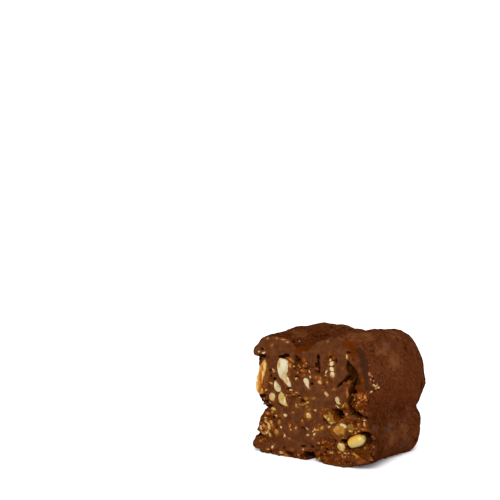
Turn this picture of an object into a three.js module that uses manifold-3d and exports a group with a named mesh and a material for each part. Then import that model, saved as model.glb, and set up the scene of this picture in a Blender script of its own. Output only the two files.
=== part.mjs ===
// A chocolate truffle, cut across: a four-lobed log of soft chocolate and chopped nuts, rounded and
// dusted at its far end and bare at the cut. Millimetres, +Z up, +X to the right along the cut,
// +Y along the log away from the cut. The log lies on two of its lobes.
import * as THREE from "three";
import { mergeVertices } from "three/addons/utils/BufferGeometryUtils.js";
import Module from "manifold-3d";

// ---------------------------------------------------------------- driving dimensions
const LENGTH = 16.3; // from the cut to the far end, nearly
const STATION = 8.0; // the lobes' sizes are given at the cut, one station in and two stations in
const END_ROUND = 3.3; // radius of the rounded far end
const BLEND = 0.85; // softness of the grooves between the lobes
const CENTRE = new THREE.Vector3(0.2, 7.4, 7.3); // every point of the surface is seen from here
const SKIN_ROUND = 66; // divisions of the skin round the log
const SKIN_ALONG = 26; // divisions of the skin from end to end
const CUT_STEP = 0.52; // size of the facets on the cut
const NUT_GAP = 0.3; // free gap between a piece of nut and the chocolate round it
const LUMP = 0.08; // height of the slow unevenness of the pressed skin
const CUT_WAVE = 0.14; // height of the slow unevenness of the cut

// Each lobe of the section: middle (x, z) and half sizes (rx, rz) at the three stations, where its
// far end lies, and how square its outline is (2 is an ellipse).
const LOBES = [
  { name: "top left", x: [-5.45, -4.21, -3.62], z: [10.69, 11.14, 11.04], rx: [3.73, 5, 5.26], rz: [4.72, 5.08, 4.86], end: 15.56, p: 2.42 },
  { name: "top right", x: [3.31, 5.09, 4.79], z: [10.86, 10.49, 9.43], rx: [4.59, 4.39, 4.02], rz: [4.99, 5.72, 5.96], end: 16.26, p: 2.04 },
  { name: "foot right", x: [3.67, 4.3, 5.07], z: [2.95, 3.41, 2.54], rx: [5.34, 4.62, 4.76], rz: [3, 3.89, 3.88], end: 14.61, p: 2.44 },
  { name: "foot left", x: [-4.21, -4.25, -4.09], z: [2.93, 2.43, 3.34], rx: [4.63, 4.77, 4.71], rz: [3.95, 3.43, 3.41], end: 15.2, p: 2.46 },
  { name: "core", x: [0.6, 0.48, 0.53], z: [7.2, 7.5, 7.51], rx: [7.23, 7.61, 7.93], rz: [4.98, 4.99, 4.99], end: 14.81, p: 2.01 },
  { name: "top", x: [-1.65, -1.3, -0.8], z: [9.96, 10.6, 10.8], rx: [3.35, 3.4, 3.4], rz: [3.81, 3.7, 3.7], end: 15, p: 2.03 },
  { name: "bottom", x: [-0.13, 0, 0], z: [4.17, 4.2, 4.2], rx: [3.19, 3.2, 3.2], rz: [3.34, 3.2, 3.2], end: 14.4, p: 2 },
];

// Where the log bulges or was pulled out, pressed in or broken off, mostly at the rim of the cut:
// middle, half sizes, whether it gains there or loses, and how softly that runs into the rest.
const RIM = [
  { x: 7.7, y: -0.69, z: -0.31, rx: 3.24, ry: 2.49, rz: 0.8, gains: false, soft: 0.35 }, // underside lifted at the lower right
  { x: 7.84, y: 13.14, z: 9.04, rx: 1.54, ry: 2.47, rz: 1.7, gains: true, soft: 0.4 }, // bulge of the right flank, far back
  { x: 1.8, y: 8.39, z: 14.28, rx: 2.04, ry: 2.36, rz: 1.9, gains: true, soft: 0.5 }, // fuller groove on top
  { x: 7.31, y: 10.39, z: 4.59, rx: 2.15, ry: 3.17, rz: 1.87, gains: true, soft: 0.5 }, // fuller lower right flank
  { x: -8.3, y: 0.7, z: 13.2, rx: 1, ry: 1.8, rz: 0.72, gains: true, soft: 0.35 }, // tip at the upper left
  { x: -9, y: -0.1, z: 12.18, rx: 1.08, ry: 1.6, rz: 0.4, gains: false, soft: 0.12 }, // broken away under it
  { x: -9.42, y: -0.1, z: 11, rx: 1.15, ry: 1.7, rz: 1.6, gains: false, soft: 0.2 }, // and further down
  { x: -9.6, y: -0.1, z: 9.2, rx: 0.95, ry: 1.5, rz: 1.5, gains: false, soft: 0.25 }, // beside the nut at the left edge
  { x: -7.9, y: 0, z: 5.78, rx: 1.15, ry: 1.6, rz: 0.55, gains: false, soft: 0.2 }, // mouth of the left groove
  { x: -8.6, y: 0, z: 5.2, rx: 0.95, ry: 1.4, rz: 0.9, gains: false, soft: 0.25 }, // its lower lip
  { x: -9.6, y: 0, z: 3.9, rx: 1.45, ry: 1.4, rz: 1.5, gains: false, soft: 0.25 }, // flat of the lower left lobe
  { x: -8.35, y: 0.7, z: 0.92, rx: 0.85, ry: 1.2, rz: 0.75, gains: true, soft: 0.3 }, // crumb at the lower left
  { x: -8.95, y: 0.2, z: 2.28, rx: 1.1, ry: 1, rz: 0.36, gains: false, soft: 0.12 }, // nick above it
];

// Cracks in the cut: depth, then stops of x, z and half width.
const CRACKS = [
  { depth: 0.9, stops: [[5.06, 12.93, 0.25], [5.2, 12.45, 0.45], [5.5, 11.95, 0.65], [5.7, 11.3, 0.75], [5.8, 10.7, 0.65], [5.86, 10.4, 0.5]] },
  { depth: 1.9, stops: [[5.93, 10.6, 0.3], [5.92, 10.1, 0.42], [5.86, 9.67, 0.45], [5.67, 9.05, 0.42], [5.45, 8.42, 0.36], [5.4, 7.8, 0.34], [5.52, 7.33, 0.38], [5.89, 6.89, 0.42], [6.43, 6.6, 0.4], [7.03, 6.41, 0.32], [7.5, 6.35, 0.22]] },
  { depth: 1.1, stops: [[4.99, 10.92, 0.34], [4.64, 10.57, 0.28], [3.99, 9.97, 0.24], [3.5, 9.7, 0.16]] },
  { depth: 0.9, stops: [[0.92, 13.5, 0.2], [0.9, 12.9, 0.26], [0.97, 12.3, 0.32], [0.99, 11.5, 0.2]] },
];

// Hollows in the cut: middle, half sizes, depth.
const HOLLOWS = [
  { x: 3.9, z: 6.35, rx: 0.75, rz: 0.75, depth: 1.7 }, // above the amber piece
  { x: 6.65, z: 3.6, rx: 1.75, rz: 1.25, depth: 1.4 }, // round the oval piece
  { x: -2.0, z: 11.9, rx: 0.75, rz: 0.8, depth: 0.9 },
  { x: -0.1, z: 0.5, rx: 0.95, rz: 0.7, depth: 1.3 }, // mouth of the lower groove
  { x: -4.1, z: 12.75, rx: 0.9, rz: 0.35, depth: 0.8 },
];

// Pieces of nut that show in the cut: middle (x, z), depth of the middle behind the cut (y), long and
// short half size in the cut, half size into the log, lean of the long axis in degrees, and how far
// the piece stands proud of the cut.
const NUTS = [
  { name: "nut_upper_left", x: -4.15, z: 11.3, y: 0.35, a: 1.5, b: 0.78, c: 0.85, lean: -76, proud: 0.3, colour: 0xdbcea9 },
  { name: "nut_upper_left_tail", x: -3.5, z: 9.2, y: 0.3, a: 0.8, b: 0.48, c: 0.6, lean: -52, proud: 0.22, colour: 0xd9bd8a },
  { name: "nut_left_edge", x: -7.5, z: 9.85, y: 0.45, a: 2.1, b: 0.78, c: 1.1, lean: 82, proud: 0.35, colour: 0xc18b42 },
  { name: "nut_slip_left", x: -5.17, z: 8.97, y: 0.2, a: 0.77, b: 0.42, c: 0.5, lean: -57, proud: 0.22, colour: 0xd8ccb0 },
  { name: "nut_cream_left", x: -6.0, z: 7.4, y: 0.25, a: 0.6, b: 0.5, c: 0.55, lean: -47, proud: 0.22, colour: 0xcfa45c },
  { name: "nut_yellow_left", x: -4.5, z: 7.45, y: 0.3, a: 0.84, b: 0.6, c: 0.6, lean: 65, proud: 0.22, colour: 0xd6c07c },
  { name: "nut_centre_high", x: -0.78, z: 9.92, y: 0.2, a: 0.65, b: 0.42, c: 0.5, lean: -57, proud: 0.22, colour: 0xd0c4a8 },
  { name: "nut_broken_high", x: 2.9, z: 11.75, y: 0.2, a: 1.0, b: 0.42, c: 0.5, lean: -80, proud: 0.22, colour: 0xc8beA9 },
  { name: "nut_centre_low", x: -0.56, z: 5.6, y: 0.15, a: 0.5, b: 0.42, c: 0.45, lean: 4, proud: 0.22, colour: 0xd4ac6a },
  { name: "nut_right_slip", x: 3.67, z: 8.09, y: 0.15, a: 0.55, b: 0.36, c: 0.42, lean: -59, proud: 0.22, colour: 0xc9bd97 },
  { name: "nut_long", x: 2.62, z: 5.8, y: 0.25, a: 0.9, b: 0.4, c: 0.5, lean: -50, proud: 0.22, colour: 0xb98a4c },
  { name: "nut_brown_low", x: 1.35, z: 4.36, y: 0.25, a: 0.7, b: 0.4, c: 0.5, lean: 10, proud: 0.22, colour: 0x9c7038 },
  { name: "nut_amber", x: 3.72, z: 4.42, y: 0.3, a: 1.1, b: 0.82, c: 0.9, lean: 25, proud: 0.4, colour: 0xad782b },
  { name: "nut_pale_low", x: 4.2, z: 2.34, y: 0.3, a: 0.62, b: 0.54, c: 0.6, lean: -60, proud: 0.22, colour: 0xc0994f },
  { name: "nut_oval", x: 6.15, z: 3.38, y: 0.4, a: 1.22, b: 0.74, c: 0.95, lean: 20, proud: 0.5, colour: 0xd9b45c },
];

// ---------------------------------------------------------------- form of the log
// Value at distance y of a size given at the three stations.
const along = (v, y) => {
  const t = y / STATION;
  return (v[0] * (t - 1) * (t - 2)) / 2 - v[1] * t * (t - 2) + (v[2] * t * (t - 1)) / 2;
};

const softMin = (a, b, k) => {
  const h = Math.min(Math.max(0.5 + (0.5 * (b - a)) / k, 0), 1);
  return b * (1 - h) + a * h - k * h * (1 - h);
};

// Distance-like value of one lobe: below zero inside.
function lobeValue(lobe, x, y, z) {
  const rx = along(lobe.rx, y), rz = along(lobe.rz, y);
  const m = (Math.abs((x - along(lobe.x, y)) / rx) ** lobe.p + Math.abs((z - along(lobe.z, y)) / rz) ** lobe.p) ** (1 / lobe.p);
  const a = (m - 1) * Math.min(rx, rz) + END_ROUND, b = y - lobe.end + END_ROUND;
  return a > 0 && b > 0 ? Math.hypot(a, b) - END_ROUND : Math.max(a, b) - END_ROUND;
}

// Slow unevenness of the skin.
const lump = (x, y, z) =>
  LUMP * (Math.sin(0.9 * x + 0.5 * y + 1.3) * Math.sin(0.8 * z - 0.7 * y + 0.4) + 0.6 * Math.sin(1.7 * x - 1.1 * z + 0.9 * y + 2.1));

function logValue(x, y, z) {
  const yy = Math.min(Math.max(y, -1), LENGTH + 1.5);
  let d = LOBES.map((l) => lobeValue(l, x, yy, z)).reduce((a, b) => softMin(a, b, BLEND));
  for (const r of RIM) {
    const e = (Math.hypot((x - r.x) / r.rx, (y - r.y) / r.ry, (z - r.z) / r.rz) - 1) * Math.min(r.rx, r.ry, r.rz);
    d = r.gains ? softMin(d, e, r.soft) : -softMin(-d, e, r.soft);
  }
  return Math.max(d + lump(x, y, z), -2.0 - y, -1.2 - z);
}

// ---------------------------------------------------------------- form of the cut
// Distance from (x, z) to a crack's middle line, less its half width, and the half width there.
function crackShare(crack, x, z) {
  let best = 0;
  for (let i = 0; i + 1 < crack.stops.length; i++) {
    const [x0, z0, w0] = crack.stops[i], [x1, z1, w1] = crack.stops[i + 1];
    const dx = x1 - x0, dz = z1 - z0;
    const t = Math.min(Math.max(((x - x0) * dx + (z - z0) * dz) / (dx * dx + dz * dz), 0), 1);
    const d = Math.hypot(x - x0 - t * dx, z - z0 - t * dz), w = w0 + t * (w1 - w0);
    best = Math.max(best, (1 - Math.min(d / (1.6 * w), 1) ** 2) ** 1.2);
  }
  return best;
}

// How far the cut's surface lies behind the plane y = 0 at (x, z).
function cutDepth(x, z) {
  let y = CUT_WAVE * (Math.sin(0.75 * x + 0.4) * Math.sin(0.7 * z + 1.1) + 0.5 * Math.sin(1.6 * x + 1.2 * z));
  for (const c of CRACKS) y += c.depth * crackShare(c, x, z);
  for (const h of HOLLOWS) {
    const m = ((x - h.x) / h.rx) ** 2 + ((z - h.z) / h.rz) ** 2;
    y += h.depth * Math.max(0, 1 - m) ** 0.8;
  }
  return y;
}

// ---------------------------------------------------------------- geometry helpers
const wasm = await Module();
wasm.setup();

const bare = (geometry) => {
  geometry.deleteAttribute("normal");
  geometry.deleteAttribute("uv");
  return mergeVertices(geometry, 1e-4);
};

const solid = (geometry) =>
  new wasm.Manifold(
    new wasm.Mesh({ numProp: 3, vertProperties: geometry.attributes.position.array, triVerts: new Uint32Array(geometry.index.array) }),
  );

function geometryOf(manifold) {
  const m = manifold.getMesh();
  const positions = new Float32Array(m.numVert * 3);
  for (let i = 0; i < m.numVert; i++) positions.set(m.vertProperties.subarray(i * m.numProp, i * m.numProp + 3), 3 * i);
  const g = new THREE.BufferGeometry();
  g.setAttribute("position", new THREE.BufferAttribute(positions, 3));
  g.setIndex(new THREE.BufferAttribute(new Uint32Array(m.triVerts), 1));
  g.computeVertexNormals();
  return g;
}

const movePoints = (geometry, move) => {
  const p = geometry.attributes.position, v = new THREE.Vector3();
  for (let i = 0; i < p.count; i++) {
    v.fromBufferAttribute(p, i);
    move(v);
    p.setXYZ(i, v.x, v.y, v.z);
  }
  return geometry;
};

// ---------------------------------------------------------------- the log
// A ball, with its poles along the log, whose points are moved out from the centre until they meet
// the log's surface.
function logGeometry() {
  return movePoints(bare(new THREE.SphereGeometry(1, SKIN_ROUND, SKIN_ALONG)), (v) => {
    const d = v.clone().normalize();
    const value = (t) => logValue(CENTRE.x + t * d.x, CENTRE.y + t * d.y, CENTRE.z + t * d.z);
    let t = 2;
    while (value(t) < 0) t += 0.2;
    let low = t - 0.2, high = t;
    for (let i = 0; i < 24; i++) {
      const mid = (low + high) / 2;
      if (value(mid) < 0) low = mid;
      else high = mid;
    }
    v.copy(CENTRE).addScaledVector(d, low);
  });
}

// The block that takes away everything in front of the cut; its inner face carries the cut's relief.
function frontBlock() {
  const w = 22, h = 20, depth = 8, midX = 0, midZ = 7.6;
  const g = bare(new THREE.BoxGeometry(w, h, depth, Math.round(w / CUT_STEP), Math.round(h / CUT_STEP), 1));
  g.rotateX(-Math.PI / 2); // the face that looked along +Z now looks along +Y
  g.translate(midX, -depth / 2, midZ);
  return movePoints(g, (v) => {
    if (v.y > -0.001) v.y = cutDepth(v.x, v.z);
  });
}

// The block below the table: the feet of the log are flat where it has lain.
function floorBlock() {
  const g = bare(new THREE.BoxGeometry(30, 40, 6));
  g.translate(0, 8, -3);
  return g;
}

// ---------------------------------------------------------------- the pieces of nut
// A ball squeezed to the piece's sizes, with a few flat breaks; grow makes it larger all round.
function nutGeometry(nut, index, grow) {
  const lean = THREE.MathUtils.degToRad(nut.lean);
  const breaks = [0, 1, 2, 3, 4].map((k) => {
    const s = 1.7 * index + 2.4 * k;
    return { n: new THREE.Vector3(Math.sin(s), 0.8 * Math.cos(1.3 * s + 1), Math.cos(2.1 * s)).normalize(), at: 0.74 + 0.12 * Math.sin(3.1 * s) };
  });
  const g = movePoints(bare(new THREE.IcosahedronGeometry(1, nut.a > 0.9 ? 2 : 1)), (v) => {
    v.normalize();
    const r = 1 + 0.05 * Math.sin(5 * v.x + index) + 0.05 * Math.sin(6 * v.z - index);
    v.multiplyScalar(r);
    if (nut.name !== "nut_oval")
      for (const b of breaks) {
        const over = v.dot(b.n) - b.at;
        if (over > 0) v.addScaledVector(b.n, -0.85 * over);
      }
    v.set(v.x * (nut.a + grow), v.y * (nut.c + grow), v.z * (nut.b + grow));
  });
  g.rotateY(-lean);
  g.translate(nut.x, nut.y, nut.z);
  // The knife has taken the front off: what would stand further out is nearly flat.
  return movePoints(g, (v) => {
    const over = -nut.proud - grow - v.y;
    if (over > 0) v.y += 0.85 * over;
  });
}

// ---------------------------------------------------------------- put together
let log = solid(logGeometry()).subtract(solid(frontBlock())).subtract(solid(floorBlock()));
NUTS.forEach((nut, i) => {
  log = log.subtract(solid(nutGeometry(nut, i, NUT_GAP)));
});
// A sliver that a pocket may leave at the rim is dropped: the largest body is the log.
log = log.decompose().sort((a, b) => b.volume() - a.volume())[0];

const chocolate = new THREE.MeshStandardMaterial({ color: 0x5a3420, roughness: 0.75, metalness: 0 });
const truffle = new THREE.Group();
const body = new THREE.Mesh(geometryOf(log), chocolate);
body.name = "truffle_body";
truffle.add(body);

NUTS.forEach((nut, i) => {
  const geometry = nutGeometry(nut, i, 0);
  geometry.computeVertexNormals();
  const mesh = new THREE.Mesh(geometry, new THREE.MeshStandardMaterial({ color: nut.colour, roughness: 0.5, metalness: 0 }));
  mesh.name = nut.name;
  truffle.add(mesh);
});

// The origin is under the middle of the whole, at the level it rests on.
const box = new THREE.Box3().setFromObject(truffle);
truffle.position.set(-(box.min.x + box.max.x) / 2, -(box.min.y + box.max.y) / 2, 0);
const part = new THREE.Group();
part.add(truffle);

export default part;
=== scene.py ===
import math
import time

import bmesh
import bpy
import numpy as np
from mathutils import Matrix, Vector


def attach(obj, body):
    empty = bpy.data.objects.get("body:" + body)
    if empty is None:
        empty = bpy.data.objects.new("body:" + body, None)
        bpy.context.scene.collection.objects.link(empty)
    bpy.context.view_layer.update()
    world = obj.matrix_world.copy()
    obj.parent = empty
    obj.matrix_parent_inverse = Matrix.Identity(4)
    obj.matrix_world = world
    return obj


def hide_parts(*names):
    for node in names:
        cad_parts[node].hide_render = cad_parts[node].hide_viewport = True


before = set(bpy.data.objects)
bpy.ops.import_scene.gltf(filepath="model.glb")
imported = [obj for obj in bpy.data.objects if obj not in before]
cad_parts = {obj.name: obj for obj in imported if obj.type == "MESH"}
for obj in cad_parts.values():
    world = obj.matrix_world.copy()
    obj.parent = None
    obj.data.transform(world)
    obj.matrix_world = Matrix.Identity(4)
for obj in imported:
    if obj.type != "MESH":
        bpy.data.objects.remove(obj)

T0 = time.time()
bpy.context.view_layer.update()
MM = 0.001
# From the log's own frame (cut at y = 0) to the part's frame, in mm.
SHIFT = np.array([-0.08897877, -7.88240385, 0.0])


def say(*words):
    print(f"[{time.time() - T0:6.1f} s]", *words, flush=True)


# =====================================================================================
# Camera. The picture plane is 500 px wide; the cut is turned ALPHA from it.
ALPHA = math.radians(35.7)
FOCAL_PX = 775.0
EYE = np.array([50.445, -83.49095, 26.5])  # mm, in the log's frame
RIGHT = np.array([math.cos(ALPHA), math.sin(ALPHA), 0.0])
AHEAD = np.array([-math.sin(ALPHA), math.cos(ALPHA), 0.0])
UP = np.array([0.0, 0.0, 1.0])

scene = bpy.context.scene
cam_data = bpy.data.cameras.new("camera")
cam_data.lens = 36.0 * FOCAL_PX / 500.0
cam_data.sensor_width = 36.0
cam_data.clip_start = 0.001
cam = bpy.data.objects.new("camera", cam_data)
scene.collection.objects.link(cam)
cam.location = Vector((EYE + SHIFT) * MM)
cam.rotation_euler = Vector(AHEAD).to_track_quat("-Z", "Y").to_euler()
scene.camera = cam


def on_cut(u, v):
    """The point (x, z) of the plane of the cut, in mm, that shows at a picture position."""
    d = AHEAD + RIGHT * (u - 250.0) / FOCAL_PX + UP * (250.0 - v) / FOCAL_PX
    p = EYE + d * (-EYE[1] / d[1])
    return p[0], p[2]


def on_cut_vector(u, v, du, dv):
    x0, z0 = on_cut(u - du / 2, v - dv / 2)
    x1, z1 = on_cut(u + du / 2, v + dv / 2)
    return x1 - x0, z1 - z0


# =====================================================================================
# Noise
_lattices = {}


def noise(p, scale, seed):
    """Smooth noise in -1..1 at the points p (N, 3) in mm, with features of about that scale."""
    n = 32
    if seed not in _lattices:
        _lattices[seed] = (np.random.RandomState(seed).rand(n, n, n) * 2 - 1).astype(np.float32)
    lat = _lattices[seed]
    q = np.asarray(p, np.float32) / np.asarray(scale, np.float32) + np.float32(977.0)
    i = np.floor(q).astype(np.int32)
    f = q - i
    f = f * f * f * (f * (f * 6 - 15) + 10)
    i0, i1 = i % n, (i + 1) % n
    x0, y0, z0 = i0[:, 0], i0[:, 1], i0[:, 2]
    x1, y1, z1 = i1[:, 0], i1[:, 1], i1[:, 2]
    fx, fy, fz = f[:, 0], f[:, 1], f[:, 2]
    a = lat[x0, y0, z0] * (1 - fx) + lat[x1, y0, z0] * fx
    b = lat[x0, y1, z0] * (1 - fx) + lat[x1, y1, z0] * fx
    c = lat[x0, y0, z1] * (1 - fx) + lat[x1, y0, z1] * fx
    d = lat[x0, y1, z1] * (1 - fx) + lat[x1, y1, z1] * fx
    return (a * (1 - fy) + b * fy) * (1 - fz) + (c * (1 - fy) + d * fy) * fz


def cells(p, scale, seed):
    """Distances (in cells) from p to the nearest and second nearest of a scatter of points, and
    the nearest one's number in 0..1."""
    rng = np.random.RandomState(seed)
    n = 24
    jitter = rng.rand(n, n, n, 3).astype(np.float32)
    tag = rng.rand(n, n, n).astype(np.float32)
    q = np.asarray(p, np.float32) / np.float32(scale) + np.float32(480.0)
    base = np.floor(q).astype(np.int32)
    f = q - base
    d1 = np.full(len(q), 9.0, np.float32)
    d2 = np.full(len(q), 9.0, np.float32)
    who = np.zeros(len(q), np.float32)
    for dx in (-1, 0, 1):
        for dy in (-1, 0, 1):
            for dz in (-1, 0, 1):
                k = (base + (dx, dy, dz)) % n
                j = jitter[k[:, 0], k[:, 1], k[:, 2]]
                d = np.sqrt(((np.array((dx, dy, dz), np.float32) + j - f) ** 2).sum(1))
                near = d < d1
                d2 = np.where(near, d1, np.minimum(d2, d))
                who = np.where(near, tag[k[:, 0], k[:, 1], k[:, 2]], who)
                d1 = np.where(near, d, d1)
    return d1, d2, who


def ramp(v, a, b):
    """0 at a, 1 at b, smooth between."""
    t = np.clip((v - a) / (b - a), 0, 1)
    return t * t * (3 - 2 * t)


def soft_min(a, b, k):
    h = np.clip(0.5 + 0.5 * (b - a) / k, 0, 1)
    return b * (1 - h) + a * h - k * h * (1 - h)


def soft_max(a, b, k):
    return -soft_min(-a, -b, k)


# =====================================================================================
# Form of the log: the lobes of its section at three stations along it, as in the solid.
STATION, END_ROUND, BLEND, LUMP, CUT_WAVE = 8.0, 3.3, 0.85, 0.08, 0.14
LOBES = [
    # x at the three stations, z, half width, half height, far end, squareness
    ((-5.45, -4.21, -3.62), (10.69, 11.14, 11.04), (3.73, 5.0, 5.26), (4.72, 5.08, 4.86), 15.56, 2.42),
    ((3.31, 5.09, 4.79), (10.86, 10.49, 9.43), (4.59, 4.39, 4.02), (4.99, 5.72, 5.96), 16.26, 2.04),
    ((3.67, 4.3, 5.07), (2.95, 3.41, 2.54), (5.34, 4.62, 4.76), (3.0, 3.89, 3.88), 14.61, 2.44),
    ((-4.21, -4.25, -4.09), (2.93, 2.43, 3.34), (4.63, 4.77, 4.71), (3.95, 3.43, 3.41), 15.2, 2.46),
    ((0.6, 0.48, 0.53), (7.2, 7.5, 7.51), (7.23, 7.61, 7.93), (4.98, 4.99, 4.99), 14.81, 2.01),
    ((-1.65, -1.3, -0.8), (9.96, 10.6, 10.8), (3.35, 3.4, 3.4), (3.81, 3.7, 3.7), 15.0, 2.03),
    ((-0.13, 0.0, 0.0), (4.17, 4.2, 4.2), (3.19, 3.2, 3.2), (3.34, 3.2, 3.2), 14.4, 2.0),
]
# Where the log bulges or was pulled out (gains), or was pressed in or broken off: middle, half
# sizes, gains, softness.
RIM = [
    (7.7, -0.69, -0.31, 3.24, 2.49, 0.8, False, 0.35),
    (7.84, 13.14, 9.04, 1.54, 2.47, 1.7, True, 0.4),
    (1.8, 8.39, 14.28, 2.04, 2.36, 1.9, True, 0.5),
    (7.31, 10.39, 4.59, 2.15, 3.17, 1.87, True, 0.5),
    (-8.3, 0.7, 13.2, 1.0, 1.8, 0.72, True, 0.35),
    (-9.0, -0.1, 12.18, 1.08, 1.6, 0.4, False, 0.12),
    (-9.42, -0.1, 11.0, 1.15, 1.7, 1.6, False, 0.2),
    (-9.6, -0.1, 9.2, 0.95, 1.5, 1.5, False, 0.25),
    (-7.9, 0.0, 5.78, 1.15, 1.6, 0.55, False, 0.2),
    (-8.6, 0.0, 5.2, 0.95, 1.4, 0.9, False, 0.25),
    (-9.6, 0.0, 3.9, 1.45, 1.4, 1.5, False, 0.25),
    (-8.35, 0.7, 0.92, 0.85, 1.2, 0.75, True, 0.3),
    (-8.95, 0.2, 2.28, 1.1, 1.0, 0.36, False, 0.12),
]


def along(v, y):
    t = y / STATION
    return v[0] * (t - 1) * (t - 2) / 2 - v[1] * t * (t - 2) + v[2] * t * (t - 1) / 2


def skin_value(p):
    """Distance-like value of the skin, below zero inside, at points p in mm."""
    x, y, z = p[:, 0], np.clip(p[:, 1], -1, 17.8), p[:, 2]
    d = None
    for cx, cz, rx, rz, end, power in LOBES:
        ax, az = along(rx, y), along(rz, y)
        m = (np.abs((x - along(cx, y)) / ax) ** power + np.abs((z - along(cz, y)) / az) ** power) ** (1 / power)
        a = (m - 1) * np.minimum(ax, az) + END_ROUND
        b = y - end + END_ROUND
        e = np.where((a > 0) & (b > 0), np.hypot(np.maximum(a, 0), np.maximum(b, 0)), np.maximum(a, b)) - END_ROUND
        d = e if d is None else soft_min(d, e, BLEND)
    x, y, z = p[:, 0], p[:, 1], p[:, 2]
    for rx0, ry0, rz0, ra, rb, rc, gains, soft in RIM:
        e = (np.sqrt(((x - rx0) / ra) ** 2 + ((y - ry0) / rb) ** 2 + ((z - rz0) / rc) ** 2) - 1) * min(ra, rb, rc)
        d = soft_min(d, e, soft) if gains else -soft_min(-d, e, soft)
    return d + LUMP * (
        np.sin(0.9 * x + 0.5 * y + 1.3) * np.sin(0.8 * z - 0.7 * y + 0.4) + 0.6 * np.sin(1.7 * x - 1.1 * z + 0.9 * y + 2.1)
    )


# =====================================================================================
# Form of the cut.
# Cracks: how deep, how ragged, then stops: picture position and half width in pixels.
CRACKS_SEEN = [
    (0.85, 0.22, [(347.5, 361.5, 0.9), (348.8, 366.0, 3.0), (350.8, 370.0, 4.8), (352.2, 374.5, 5.8), (352.6, 378.5, 5.4), (353.4, 383.0, 4.2)]),
    (1.8, 0.24, [(354.2, 380.0, 1.6), (354.0, 384.5, 3.2), (353.4, 389.0, 3.3), (352.0, 394.0, 3.0), (350.6, 399.0, 2.1)]),
    (1.8, 0.20, [(350.6, 399.0, 2.0), (350.0, 404.0, 1.8), (350.9, 408.0, 2.2), (353.6, 412.0, 2.7), (357.6, 415.0, 2.3), (362.0, 417.2, 1.5), (366.0, 418.3, 0.4)]),
    (1.0, 0.10, [(347.4, 377.6, 1.7), (345.0, 380.2, 1.0), (342.6, 382.6, 0.85), (340.2, 385.0, 0.8), (337.6, 386.8, 0.5), (335.2, 388.0, 0.15)]),
    (1.0, 0.08, [(318.2, 355.6, 0.6), (318.2, 360.0, 0.9), (318.6, 364.5, 1.5), (317.8, 369.0, 1.7), (318.8, 373.0, 0.7)]),
    (0.4, 0.05, [(297.5, 429.8, 0.2), (299.5, 428.0, 0.7), (303.0, 427.6, 0.8), (305.8, 429.2, 0.5)]),
    (0.35, 0.05, [(289.5, 421.5, 0.2), (290.6, 425.0, 0.5), (291.2, 428.5, 0.2)]),
]
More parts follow.
